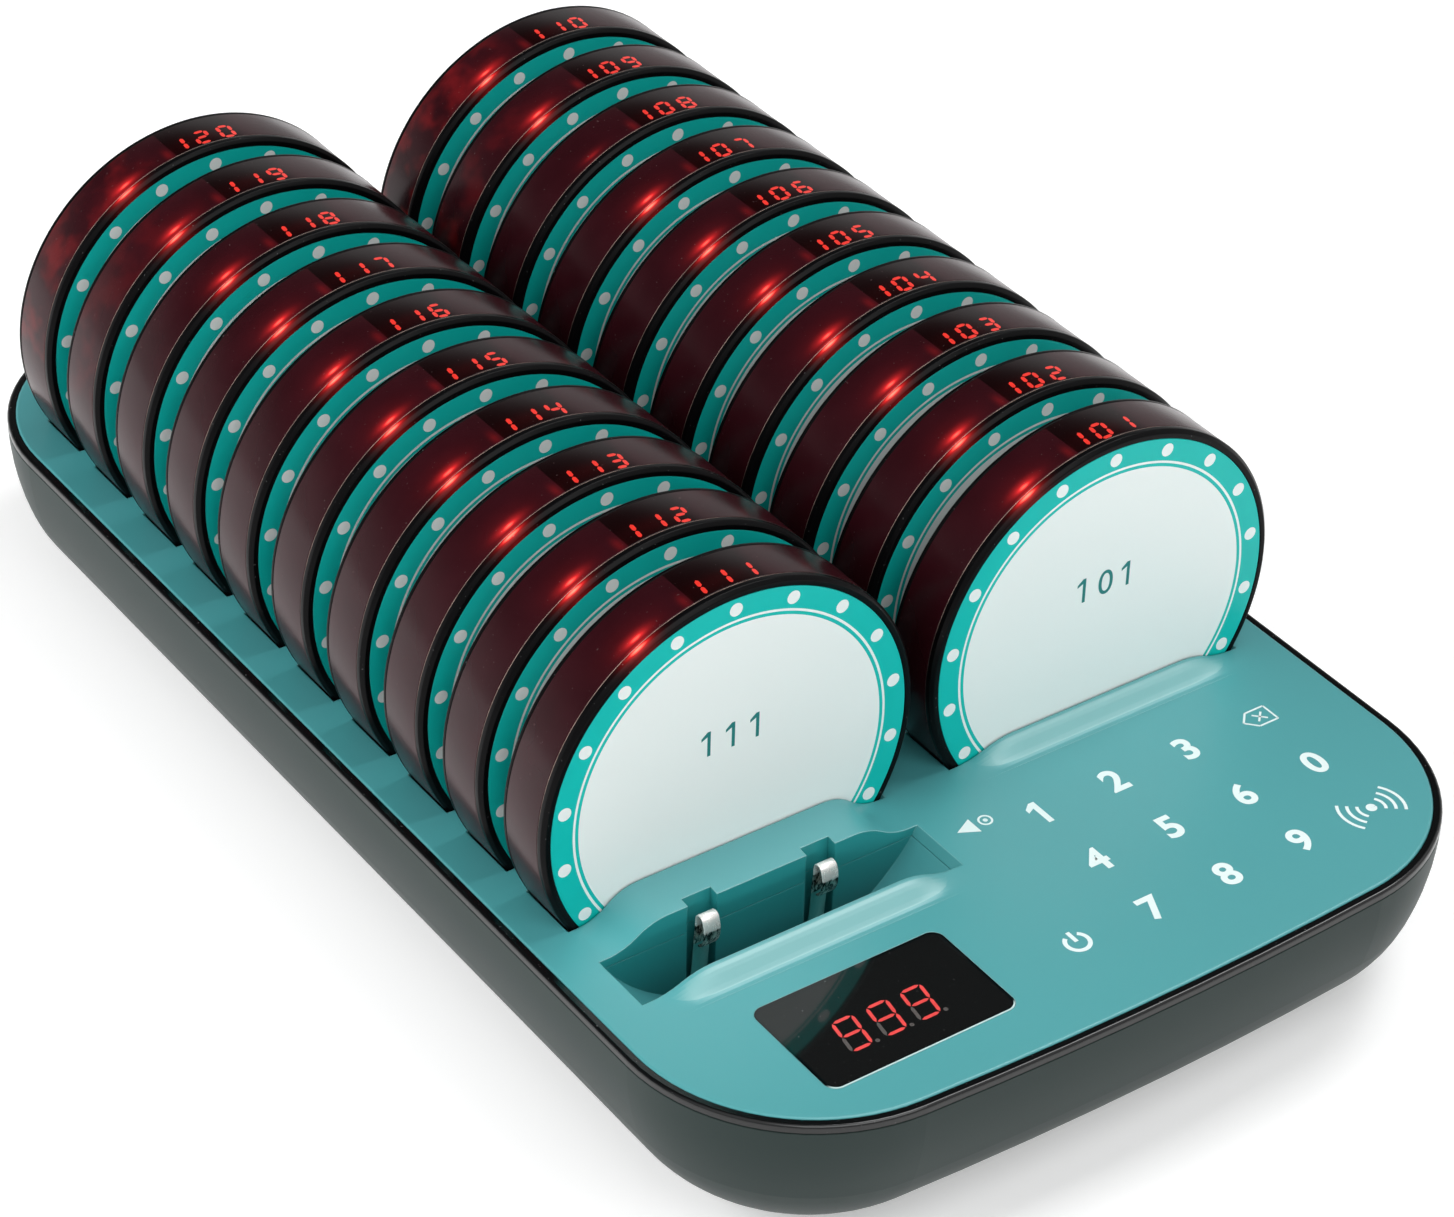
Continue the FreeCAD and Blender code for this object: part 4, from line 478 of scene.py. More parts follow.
def edge_window(material):
    """Border of the pane: black within 0.6 mm of its outline, with a painted highlight, a pale line along
    the edge that faces the keypad end.

    With q the distance from the middle beyond (half size - corner radius), the place's distance from the
    outline is d = |max(q, 0)| + min(max(qx, qy), 0) - corner radius, which is negative inside.
    """
    net = Net(material.node_tree)
    shader = material.node_tree.nodes["Principled BSDF"]
    flat = net.xy(net.node("ShaderNodeTexCoord").outputs["Object"])
    beyond = []
    for axis in (0, 1):
        middle = (WINDOW_LOW[axis] + WINDOW_HIGH[axis]) / 2
        half = (WINDOW_HIGH[axis] - WINDOW_LOW[axis]) / 2
        off = net.math("ABSOLUTE", net.math("SUBTRACT", flat[axis], middle))
        beyond.append(net.math("SUBTRACT", off, half - WINDOW_CORNER))
    out = [net.math("MAXIMUM", value, 0.0) for value in beyond]
    outside = net.math("SQRT", net.math("ADD", net.times(out[0], out[0]), net.times(out[1], out[1])))
    inner = net.math("MINIMUM", net.math("MAXIMUM", beyond[0], beyond[1]), 0.0)
    distance = net.math("SUBTRACT", net.math("ADD", outside, inner), WINDOW_CORNER)
    border = net.range(distance, 0.0, 1.0, -0.7 * MM, -0.55 * MM)
    # Painted highlight: a pale line just inside the outline, only along the edge that faces the keypad end.
    line = net.range(distance, 0.0, 1.0, -0.38 * MM, -0.28 * MM)
    front = net.range(flat[1], 0.9, 0.0, WINDOW_LOW[1] + 0.8 * MM, WINDOW_LOW[1] + 2.4 * MM)
    given = shader.inputs["Base Color"].links[0].from_socket
    tone = net.blend(border, given, linear(6, 14, 16))
    tone = net.blend(net.times(front, line), tone, linear(214, 240, 238))
    net.put(shader.inputs["Base Color"], tone)


def label_material():
    """Printed label: white field, thin circle, teal ring with eighteen dots.

    With r the distance from the middle and b the angle folded to one dot's share, a place belongs to a dot
    where its distance from (r sin b, r cos b) to the dot circle's point is under the dot's radius.
    """
    material, net, shader = new_material("printed_label")
    flat = net.xy(net.node("ShaderNodeTexCoord").outputs["UV"])
    x, z = (net.math("MULTIPLY", net.math("SUBTRACT", value, 0.5), FACE_UV) for value in flat[:2])
    radius = net.math("SQRT", net.math("ADD", net.times(x, x), net.times(z, z)))
    angle = net.math("ARCTAN2", x, z)
    share = 2 * math.pi / DOT_COUNT
    shifted = net.math("WRAP", net.math("ADD", angle, share / 2), share, 0.0)
    folded = net.math("SUBTRACT", shifted, share / 2)
    across = net.times(radius, net.math("SINE", folded))
    along = net.math("SUBTRACT", net.times(radius, net.math("COSINE", folded)), DOT_CIRCLE)
    away = net.math("SQRT", net.math("ADD", net.times(across, across), net.times(along, along)))
    dot = net.math("LESS_THAN", away, DOT_RADIUS)
    ring = net.math("GREATER_THAN", radius, RING_INSIDE)
    line = net.between(radius, *LABEL_LINE)
    printed = net.math("MAXIMUM", line, net.times(ring, net.math("SUBTRACT", 1.0, dot)))
    place = net.node("ShaderNodeTexCoord").outputs["Object"]
    paper = net.blend(net.noise(place, 24.0, 2.0), linear(240, 246, 244), linear(243, 248, 246))
    ink = net.blend(net.noise(place, 160.0, 2.0), linear(6, 188, 180), linear(8, 194, 186))
    net.put(shader.inputs["Base Color"], net.blend(printed, paper, ink))
    shader.inputs["Roughness"].default_value = 0.42
    shader.inputs["Specular IOR Level"].default_value = 0.3
    net.put(shader.inputs["Normal"], net.bump(net.noise(place, 260.0, 2.0), 0.02, 0.1 * MM))
    return material


def glow_colour(net, place, glow):
    """Red light from inside: level = glow times an uneven grain. Green and blue are 0.03 of the level, plus
    0.2 and 0.12 of what passes 0.9, so that only the core is hot."""
    grain = net.range(net.noise(place, 420.0, 3.0, 0.7), 0.8, 1.15)
    level = net.times(glow, grain)
    hot = net.math("MAXIMUM", net.math("SUBTRACT", level, 0.9), 0.0)
    faint = net.times(level, 0.03)
    red = net.node("ShaderNodeCombineColor")
    net.put(red.inputs[0], level)
    net.put(red.inputs[1], net.math("ADD", faint, net.times(hot, 0.2)))
    net.put(red.inputs[2], net.math("ADD", faint, net.times(hot, 0.12)))
    return red.outputs[0]


def spots(net, angle, depth, places):
    """Sum of spots: each is its power times a bell over the angle times a bell over the depth."""
    total = 0.0
    for at, back, wide, tall, power in places:
        spot = net.times(net.bell(angle, at, wide), net.bell(depth, back, tall))
        total = net.math("ADD", net.times(spot, power), total)
    return total


def around(net):
    """The angle round a pager in degrees and the depth behind its face in millimetres."""
    flat = net.xy(net.node("ShaderNodeTexCoord").outputs["UV"])
    return net.times(flat[0], 360.0), net.times(flat[1], PAGER_DEPTH / MM)


def rim_material(name, lamp, cast):
    """Smoked rim: a dark window behind the figures, the red spot of one lamp inside, and a mottled red
    cast where the neighbouring lamps show through."""
    material, net, shader = new_material(name)
    angle, depth = around(net)
    deep = PAGER_DEPTH / MM
    place = net.node("ShaderNodeTexCoord").outputs["Object"]
    cloud = net.noise(place, 90.0, 2.0)
    inside = net.span(depth, (1.7, 1.9), (deep - 0.9, deep - 0.5))
    window = net.times(inside, net.span(angle, WINDOW_RISE, WINDOW_FALL))
    smoke = net.blend(cloud, linear(36, 9, 14), linear(50, 13, 20))
    smoke = net.blend(window, smoke, linear(16, 2, 3))
    specks = net.times(dust(net, place), 0.25)
    net.put(shader.inputs["Base Color"], net.blend(specks, smoke, linear(120, 100, 100)))

    core = (LAMP_ANGLE, LAMP_DEPTH, 2.0, 0.55, 1.1 * lamp)
    halo = (LAMP_ANGLE, LAMP_DEPTH + 0.2, 4.2, 1.3, 0.5 * lamp)
    spill = (LAMP_ANGLE + 0.5, LAMP_DEPTH + 0.7, 9.0, 4.2, 0.045 * lamp)
    edge_glint = (LAMP_ANGLE + 1.0, LAMP_DEPTH - 1.5, 3.0, 0.3, 0.4 * lamp)
    # Painted red glow: a spot just beside the dark window, and a faint one behind the figures.
    painted_glow_beside_window = (WINDOW_FALL[1] + 1.5, 4.2, 1.2, 2.2, 0.09)
    painted_glow_behind_figures = (math.degrees(RIM_DIGIT_ANGLE), 5.4, 9.0, 2.8, 0.012)
    glow = spots(net, angle, depth, (core, halo, spill, edge_glint, painted_glow_beside_window, painted_glow_behind_figures))
    if cast:
        patch = net.range(net.noise(place, 110.0, 2.0, 0.5), 0.0, 1.0, 0.42, 0.72)
        glow = net.math("ADD", glow, net.times(patch, net.span(angle, CAST_RISE, CAST_FALL), cast))
    net.put(shader.inputs["Emission Color"], glow_colour(net, place, glow))
    shader.inputs["Emission Strength"].default_value = 1.0
    net.put(shader.inputs["Roughness"], net.range(cloud, 0.2, 0.27))
    shader.inputs["Specular IOR Level"].default_value = 0.22
    return material


def case_material(name, lamp):
    """Black shells: polished, with the lamp's streak on the bezel's side, a bronze-tinted painted highlight
    along the seam to the rim and a pale painted highlight along the rear edge, both strongest on the
    shoulders."""
    material, net, shader = new_material(name)
    angle, depth = around(net)
    place = net.node("ShaderNodeTexCoord").outputs["Object"]
    tone = net.blend(net.noise(place, 30.0, 2.0), linear(6, 6, 7), linear(9, 9, 10))
    tone = net.blend(net.times(dust(net, place), 0.3), tone, linear(130, 130, 130))
    # Painted highlights, strongest on the shoulders: a bronze-tinted line along the seam to the rim, and a
    # pale line along the rear edge, broken up by noise.
    shoulder = net.span(angle, SHOULDER_RISE, SHOULDER_FALL, 0.15, 0.2)
    highlight_breakup = net.range(net.noise(place, 300.0, 2.0), 0.6, 1.0, 0.35, 0.6)
    painted_seam_highlight = net.bell(depth, BEZEL_SIDE / MM - 0.1, 0.11)
    tone = net.blend(net.times(shoulder, highlight_breakup, painted_seam_highlight, 0.95), tone, linear(222, 192, 178))
    rear = net.bell(depth, PAGER_DEPTH / MM - 0.3, 0.16)
    tone = net.blend(net.times(shoulder, highlight_breakup, rear, 0.8), tone, linear(190, 192, 192))
    net.put(shader.inputs["Base Color"], tone)
    if lamp:
        core = (STREAK_ANGLE, STREAK_DEPTH, 2.6, 0.5, 2.2 * lamp)
        halo = (STREAK_ANGLE, STREAK_DEPTH, 4.8, 1.2, 0.4 * lamp)
        glow = spots(net, angle, depth, (core, halo))
        net.put(shader.inputs["Emission Color"], glow_colour(net, place, glow))
        shader.inputs["Emission Strength"].default_value = 1.0
    net.put(shader.inputs["Roughness"], net.range(net.noise(place, 60.0, 2.0), 0.27, 0.31))
    net.put(shader.inputs["Normal"], net.bump(net.noise(place, 900.0, 2.0), 0.02, 0.1 * MM))
    shader.inputs["Specular IOR Level"].default_value = 0.08
    return material


def lit_material(name, colour, strength):
    """A lit bar: mostly its own light, a little uneven along its length, under a clear surface."""
    material, net, shader = new_material(name)
    place = net.node("ShaderNodeTexCoord").outputs["Object"]
    uneven = net.range(net.noise(place, 900.0, 1.0), 0.0, 1.0)
    dimmer = tuple(value * 0.72 for value in colour[:3]) + (1,)
    net.put(shader.inputs["Emission Color"], net.blend(uneven, dimmer, colour))
    shader.inputs["Emission Strength"].default_value = strength
    shader.inputs["Base Color"].default_value = linear(60, 6, 6)
    shader.inputs["Roughness"].default_value = 0.3
    return material


def leaf_material(name, painted_bright_above=-1.0, teal_grey_below=-1.0):
    """Nickel-plated spring leaf: a near-white painted highlight above one level, a dark and pale painted
    mottled reflection below it with scratches in its bump, and dull pale teal-grey below a second level,
    where its foot stands in the teal well. A leaf without levels carries the painted highlight all over."""
    material, net, shader = new_material(name)
    object_place = net.node("ShaderNodeTexCoord").outputs["Object"]
    place = net.node("ShaderNodeMapping")
    net.put(place.inputs["Vector"], object_place)
    place.inputs["Scale"].default_value = (1.0, 0.35, 0.5)
    scratch_and_mottle_noise = net.noise(place.outputs[0], 1400.0, 4.0, 0.75)
    height = net.xy(object_place)[2]
    ragged = net.math("ADD", height, net.times(net.math("SUBTRACT", scratch_and_mottle_noise, 0.5), 3.0 * MM))
    # Painted highlight: near-white and less metallic above the level, with a ragged edge.
    painted_bright_top = net.range(ragged, 0.0, 1.0, painted_bright_above - 0.25 * MM, painted_bright_above + 0.25 * MM)
    # Painted reflection: a dark and pale mottle below the painted highlight.
    painted_mottled_reflection = net.blend(net.range(scratch_and_mottle_noise, 0.0, 1.0, 0.42, 0.6), linear(44, 46, 44), linear(200, 198, 190))
    tone = net.blend(painted_bright_top, painted_mottled_reflection, linear(246, 244, 240))
    foot = net.range(height, 1.0, 0.0, teal_grey_below - 0.4 * MM, teal_grey_below)
    net.put(shader.inputs["Base Color"], net.blend(foot, tone, linear(128, 172, 168)))
    net.put(shader.inputs["Roughness"], net.range(net.times(painted_bright_top, scratch_and_mottle_noise), 0.4, 0.24, 0.0, 0.6))
    net.put(shader.inputs["Normal"], net.bump(scratch_and_mottle_noise, 0.5, 0.15 * MM))
    net.put(shader.inputs["Metallic"], net.math("SUBTRACT", 1.0, net.times(painted_bright_top, 0.6)))
    return material


# walls is the painted shade colour of the cover's upright faces; the cover also takes painted highlights.
TEAL = moulded("teal_cover", linear(75, 157, 161), 0.38, grain=1500.0, depth=0.012, variation=0.03,
               cloud=9.0, specular=0.8, edge=0.45 * MM, walls=linear(44, 152, 154))
SHELL = moulded("grey_shell", linear(36, 49, 47), 0.44, grain=2200.0, depth=0.08, variation=0.08,
                cloud=11.0, specular=0.2, edge=0.4 * MM)
TRIM = moulded("black_trim", linear(12, 13, 14), 0.16, grain=700.0, depth=0.01, specks=0.3)
WINDOW = moulded("window_pane", linear(21, 22, 22), 0.05, grain=300.0, depth=0.004, specks=0.25)
edge_window(WINDOW)
PRINT = moulded("white_print", linear(232, 245, 244), 0.5, grain=900.0, depth=0.01, variation=0.02)
DARK_BAR = moulded("unlit_bar", linear(78, 72, 70), 0.5, grain=900.0, depth=0.02)
BOARD = moulded("board_green", linear(24, 92, 58), 0.4, grain=500.0, depth=0.05)
BLACK = moulded("black_plastic", linear(24, 24, 25), 0.45, grain=1200.0, depth=0.05, edge=0.3 * MM)
RUBBER = moulded("foot_rubber_dark", linear(26, 26, 27), 0.75, grain=1600.0, depth=0.12)
STEEL = moulded("zinc_steel", linear(176, 176, 172), 0.32, grain=1800.0, depth=0.04, metallic=1.0)
PALE = moulded("pale_nylon", linear(150, 176, 170), 0.5, grain=1200.0, depth=0.04)
FOIL = moulded("cell_foil_grey", linear(190, 190, 194), 0.35, grain=700.0, depth=0.1, metallic=0.7)
BRASS = moulded("pin_brass_bright", linear(214, 178, 104), 0.25, grain=1400.0, depth=0.03, metallic=1.0)
# A leaf without levels: the painted highlight all over.
LEAF = leaf_material("nickel_leaf")
LEAF_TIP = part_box("set_contact_left")[1][2]
SLOT_LEAF = leaf_material("nickel_slot_leaf", LEAF_TIP - PAINTED_BRIGHT_BELOW_TIP, LEAF_TIP - FOOT_BELOW_TIP)
LABEL = label_material()
RIM = rim_material("smoked_rim", 1.0, 0.0)
RIM_FAINT = rim_material("smoked_rim_faint", 0.16, 0.0)
RIM_NEXT = rim_material("smoked_rim_next", 1.0, 0.035)
RIM_LAST = rim_material("smoked_rim_last", 0.9, 0.11)
CASE = case_material("black_case", 1.0)
CASE_FAINT = case_material("black_case_faint", 0.0)
FIGURE = lit_material("red_figures", linear(252, 84, 82), 1.0)
RIM_FIGURE = lit_material("red_rim_figures", linear(255, 58, 46), 1.0)
LABEL_INK = moulded("label_ink", linear(14, 122, 120), 0.45, grain=900.0, depth=0.01, variation=0.02)

# Pagers whose rims show their neighbours' lamps, the rearmost ones most, and those whose lamp is faint.
LAST_PAGERS = (110, 120)
NEXT_PAGERS = (109, 119)
FAINT_PAGERS = (108,)


def finish_piece(piece, material, body):
    """Give a new piece its material and the body that it rides on."""
    piece.data.materials.clear()
    piece.data.materials.append(material)
    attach(piece, body)
    return piece


def dress(material, *nodes):
    """Give CAD nodes that stay their material."""
    for node in nodes:
        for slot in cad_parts[node].material_slots:
            slot.material = material


# ---- print and figures

def font_figure(figure, bold):
    """One figure of the built-in font as flat points and triangles, one high and centred."""
    curve = bpy.data.curves.new("figure_text", "FONT")
    curve.body = figure
    curve.offset = bold
    holder = bpy.data.objects.new("figure_text", curve)
    bpy.context.scene.collection.objects.link(holder)
    bpy.context.view_layer.update()
    mesh = bpy.data.meshes.new_from_object(holder)
    bpy.data.objects.remove(holder)
    mesh.calc_loop_triangles()
    points = np.empty(len(mesh.vertices) * 3)
    mesh.vertices.foreach_get("co", points)
    points = points.reshape(-1, 3)[:, :2]
    triangles = np.empty(len(mesh.loop_triangles) * 3, dtype=np.int32)
    mesh.loop_triangles.foreach_get("vertices", triangles)
    middle = (points.max(axis=0) + points.min(axis=0)) / 2
    tall = points[:, 1].max() - points[:, 1].min()
    return (points - middle) / tall, triangles.reshape(-1, 3)


def figure_one(stem):
    """The figure one: an upright stem of the given width, one high, with a slanted flag at its top left."""
    left, right = -0.35 * stem, 0.65 * stem
    flag, flag_low, flag_high = left - ONE_FLAG, 0.30, 0.42
    thick = 0.9 * stem
    points = np.array([(left, -0.5), (right, -0.5), (right, 0.5), (left, 0.5),
                       (flag, flag_low), (flag, flag_low - thick), (left, flag_high - thick)])
    return points, np.array([(0, 1, 2), (0, 2, 3), (3, 4, 5), (3, 5, 6)])


def figures_shape(text, height, stem, bold, pitch=0.0):
    """Several figures side by side at one pitch, as flat points and triangles about their middle. The
    figure nine is a six turned by half."""
    points, faces, start = [], [], 0
    for index, figure in enumerate(text):
        if figure == "1":
            shape, triangles = figure_one(stem)
        elif figure == "9":
            shape, triangles = font_figure("6", bold)
            shape = -shape
        else:
            shape, triangles = font_figure(figure, bold)
        shift = np.array([(index - (len(text) - 1) / 2) * pitch, 0.0])
        points.append(shape * height + shift)
        faces.append(triangles + start)
        start += len(shape)
    return np.concatenate(points), np.concatenate(faces)


def flat_print(name, flat, faces, place, material=PRINT):
    """A flat shape printed on the base's top at a place."""
    laid = flat + np.array(place)
    level = np.full((len(laid), 1), TOP + PRINT_LIFT)
    piece = mesh_piece(name, np.hstack([laid, level]), facing(laid, faces), smooth=False)
    return finish_piece(piece, material, "base")


def stroke(points, width):
    """A line of constant width along flat points: each point moves half the width to either side
    along the mean normal of its two neighbours."""
    points = np.array(points, dtype=float)
    ahead = np.gradient(points, axis=0)
    ahead /= np.linalg.norm(ahead, axis=1)[:, None]
    normal = np.stack([-ahead[:, 1], ahead[:, 0]], axis=1) * width / 2
    sides = np.stack([points - normal, points + normal], axis=1).reshape(-1, 2)
    faces, _, _ = grid_faces(len(points), 2, False)
    return sides, faces


def circle_points(centre, radius, start=0.0, end=360.0, steps=40):
    """Points of an arc from start to end in degrees: centre + radius (cos a, sin a)."""
    angle = np.radians(np.linspace(start, end, steps))
    return np.stack([centre[0] + radius * np.cos(angle), centre[1] + radius * np.sin(angle)], axis=1)


def lines_print(name, strokes, place, material=PRINT):
    """Several strokes as one printed symbol on the base's top."""
    points, faces, start = [], [], 0
    for sides, quads in strokes:
        points.append(sides)
        faces.append(quads + start)
        start += len(sides)
    return flat_print(name, np.concatenate(points), np.concatenate(faces), place, material)


def straight(start, end, step=0.4 * MM):
    """Points along a straight line, about one step apart."""
    start, end = np.array(start, dtype=float), np.array(end, dtype=float)
    count = max(2, int(np.linalg.norm(end - start) / step))
    return start + (end - start) * np.linspace(0, 1, count + 1)[:, None]


def make_keypad_print():
    """The figures 0 to 9 and five plain signs, each in its column and row of keys."""
    figures = {"1": (1, 0), "2": (2, 0), "3": (3, 0), "4": (1, 1), "5": (2, 1), "6": (3, 1), "0": (4, 1),
               "7": (1, 2), "8": (2, 2), "9": (3, 2)}
    for figure, (column, row) in figures.items():
        flat, faces = figures_shape(figure, KEY_HEIGHT, KEY_STROKE, KEY_BOLD)
        flat_print("key_" + figure, flat, faces, (KEY_COLUMNS[column], KEY_ROWS[row]))

    # erase key: a pointed tag with a cross in it
    w, h, line = 3.9 * MM, 2.7 * MM, 0.5 * MM
    tag = [(-w, 0), (-w * 0.35, h), (w, h), (w, -h), (-w * 0.35, -h)]
    sides = [stroke(straight(start, end), line) for start, end in zip(tag, tag[1:] + tag[:1])]
    arm = 1.3 * MM
    shift = 0.8 * MM
    sides.append(stroke(straight((shift - arm, -arm), (shift + arm, arm)), line))
    sides.append(stroke(straight((shift - arm, arm), (shift + arm, -arm)), line))
    lines_print("key_erase", sides, (KEY_COLUMNS[4], KEY_ROWS[0]))

    # power key: an open ring with a bar
    ring = stroke(circle_points((0, 0), 2.7 * MM, 125, 415), 1.0 * MM)
    bar = stroke(straight((0, 0.2 * MM), (0, 3.6 * MM)), 1.0 * MM)
    lines_print("key_power", [ring, bar], (KEY_COLUMNS[0], KEY_ROWS[2]))

    # call key: a small mast with waves to both sides
    waves = [stroke(circle_points((0, 0), radius * MM, start - 38, start + 38, 16), 0.75 * MM)
             for radius in (3.2, 5.4, 7.6) for start in (0, 180)]
    waves.append(stroke(circle_points((0, 0), 0.65 * MM, 0, 360, 24), 1.25 * MM))
    lines_print("key_call", waves, (KEY_COLUMNS[4] - 0.2 * MM, KEY_ROWS[2]))

    # pointer to the setting slot, with a small ring for the pager that goes there
    tip = np.array([(-2.6 * MM, 0.4 * MM), (2.2 * MM, 2.9 * MM), (2.2 * MM, -2.1 * MM)])
    lines_print("slot_pointer", [(tip, np.array([[0, 1, 2]]))], (-0.6 * MM, -108.8 * MM))
    small = stroke(circle_points((0, 0), 1.5 * MM), 0.5 * MM)
    dot = stroke(circle_points((0, 0), 0.3 * MM, 0, 360, 20), 0.55 * MM)
    lines_print("slot_pager_sign", [small, dot], (4.6 * MM, -108.2 * MM))


def make_base_figures():
    """Three lit nines in the window, with their unlit bars and points."""
    def lay(flat):
        return np.hstack([flat, np.full((len(flat), 1), TOP + PRINT_LIFT)])

    sizes = (BASE_DIGIT_WIDTH, BASE_DIGIT_HEIGHT, BASE_SEGMENT, BASE_SLANT)
    lit, unlit, faces = [], [], None
    for index in range(3):
        shift = np.array([BASE_FIGURES_AT[0] + (index - 1) * BASE_DIGIT_PITCH, BASE_FIGURES_AT[1]])
        bars, faces = figure_bars(SEVEN_SEGMENTS["9"], *sizes)
        lit += [bar + shift for bar in bars]
        bars, _ = figure_bars("e", *sizes)
        unlit += [bar + shift for bar in bars]
    finish_piece(bars_mesh("base_figures", lit, faces, lay), FIGURE, "base")
    finish_piece(bars_mesh("base_figures_unlit", unlit, faces, lay), DARK_BAR, "base")
    points = []
    for index in range(3):
        at = (BASE_FIGURES_AT[0] + (index - 1) * BASE_DIGIT_PITCH + 3.1 * MM, BASE_FIGURES_AT[1] - 4.6 * MM)
        points.append(stroke(circle_points(at, 0.3 * MM, 0, 360, 16), 0.45 * MM))
    lines_print("base_figure_points", points, (0, 0), DARK_BAR)


# ---- pagers

def pager_centre(number):
    """The middle of a pager's front face, from the frame."""
    node = "pager_101_front_shell" if number == 101 else "pager_%d" % number
    low, high = (Vector(corner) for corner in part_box(node))
    return ((low[0] + high[0]) / 2, low[1], (low[2] + high[2]) / 2)


def case_profiles():
    """Profiles of front and rear shell as (radius, depth behind the face)."""
    r, deep = PAGER_RADIUS, PAGER_DEPTH
    bevel, side_round, floor_thick = 0.8 * MM, 0.22 * MM, 1.6 * MM
    seat, hollow = 0.5 * MM, 0.3 * MM            # depth of the label's seat, and of the rear face's hollow
    inside = r - 2.3 * MM
    front = rounded([(0, seat), (RECESS_RADIUS, seat), (RECESS_RADIUS, 0), (r - bevel, 0), (r, bevel),
                     (r, BEZEL_SIDE), (inside, BEZEL_SIDE), (inside, seat + floor_thick),
                     (0, seat + floor_thick)],
                    [0, 0, 0.18 * MM, 0.5 * MM, 0.5 * MM, side_round, 0, 0, 0])
    rear = rounded([(0, deep - floor_thick), (inside, deep - floor_thick), (inside, deep - BACK_SIDE),
                    (r, deep - BACK_SIDE), (r, deep - bevel), (r - bevel, deep), (r - 3 * MM, deep),
                    (r - 3.6 * MM, deep - hollow), (r - 4.4 * MM, deep - hollow), (0, deep - hollow)],
                   [0, 0, 0, side_round, 0.5 * MM, 0.5 * MM, 0.2 * MM, 0.2 * MM, 0, 0])
    return front, rear


def lens_profile():
    """Profile of the smoked rim between the two shells, its outer edges rounded."""
    r = PAGER_RADIUS - LENS_SET_IN
    inside = PAGER_RADIUS - 2.2 * MM
    near, far = BEZEL_SIDE + 0.02 * MM, PAGER_DEPTH - BACK_SIDE - 0.02 * MM
    return rounded([(inside, near), (r, near), (r, far), (inside, far)], [0, 0.2 * MM, 0.2 * MM, 0])


def label_profile():
    """Profile of the printed label, its face just behind the bezel's."""
    face, back, flat = 0.1 * MM, 0.5 * MM, LABEL_RADIUS - 0.6 * MM
    return rounded([(0, face), (flat, face), (LABEL_RADIUS, face), (LABEL_RADIUS, back)],
                   [0, 0, 0.08 * MM, 0])


def rim_figures(number, centre):
    """The pager's number as bars bent round the rim.

    A flat point (u, w) goes to the angle a = middle - u / radius and the depth w behind the face.
    """
    radius = PAGER_RADIUS - 0.012 * MM

    def bend(flat):
        angle = RIM_DIGIT_ANGLE - flat[:, 0] / radius
        return np.stack([centre[0] + radius * np.cos(angle), centre[1] + RIM_DIGIT_BACK + flat[:, 1],
                         centre[2] + radius * np.sin(angle)], axis=1)

    sizes = (RIM_DIGIT_WIDTH, RIM_DIGIT_HEIGHT, RIM_SEGMENT, RIM_SLANT)
    groups, faces = [], None
    for index, figure in enumerate(str(number)):
        bars, faces = figure_bars(SEVEN_SEGMENTS[figure], *sizes)
        shift = np.array([(index - 1) * RIM_DIGIT_PITCH, 0])
        groups += [bar + shift for bar in bars]
    return bars_mesh("pager_%d_figures" % number, groups, faces, bend)


def label_number(number, centre):
    """The pager's number printed on its label's white field."""
    flat, faces = figures_shape(str(number), 6.4 * MM, 0.13, 0.0, 6.2 * MM)
    height = centre[2] + 10.5 * MM
    points = np.stack([centre[0] + flat[:, 0], np.full(len(flat), centre[1] + 0.085 * MM),
                       height + flat[:, 1]], axis=1)
    return mesh_piece("pager_%d_label_number" % number, points, facing(flat, faces), smooth=False)


def rim_of(number):
    """The rim's and the case's material for a pager."""
    if number in LAST_PAGERS:
        return RIM_LAST, CASE
    if number in NEXT_PAGERS:
        return RIM_NEXT, CASE
    if number in FAINT_PAGERS:
        return RIM_FAINT, CASE_FAINT
    return RIM, CASE


def make_pager(number):
    """One pager's shells, rim, label, figures and number, which stand in for its CAD nodes."""
    centre = pager_centre(number)
    body = "pager_%d" % number
    front, rear = case_profiles()
    rim, case = rim_of(number)
    shell = finish_piece(turned(body + "_bezel", front, centre), case, body)
    back = finish_piece(turned(body + "_back", rear, centre), case, body)
    lens = finish_piece(turned(body + "_rim", lens_profile(), centre), rim, body)
    disc = turned(body + "_print", label_profile(), centre, uv="face")
    label = finish_piece(disc, LABEL, body)
    finish_piece(rim_figures(number, centre), RIM_FIGURE, body)
    finish_piece(label_number(number, centre), LABEL_INK, body)
    if number == 101:
        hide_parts("pager_101_front_shell")
        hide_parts("pager_101_rear_shell")
        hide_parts("pager_101_rim_lens")
        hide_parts("pager_101_label")
    else:
        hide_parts(body)


# ---- contact leaves of the setting slot

def leaf_centreline(height):
    """A leaf's middle line as (y, z) about its foot: an upright stem, a roll over the top, a tongue that
    bows forward and a hook at its end.

    Each bend is an arc that goes on from the last one's end and heading, with
    point = centre + radius (cos a, sin a) and a rising through the bend's turn.
    """
    roll, bow, lean_out = 1.3 * MM, 6.8 * MM, math.radians(31)
    bends = ((roll, math.pi - lean_out, 14), (bow, 2 * lean_out, 14), (0.7 * MM, math.radians(75), 8))
    points = [np.array((0.0, height * share)) for share in np.linspace(0, 1, 5)]
    angle, end = 0.0, np.array((0.0, height))
    for radius, turn, steps in bends:
        centre = end - radius * np.array((math.cos(angle), math.sin(angle)))
        for share in np.linspace(0, 1, steps + 1)[1:]:
            now = angle + turn * share
            points.append(centre + radius * np.array((math.cos(now), math.sin(now))))
        angle, end = angle + turn, points[-1]
    return np.array(points)


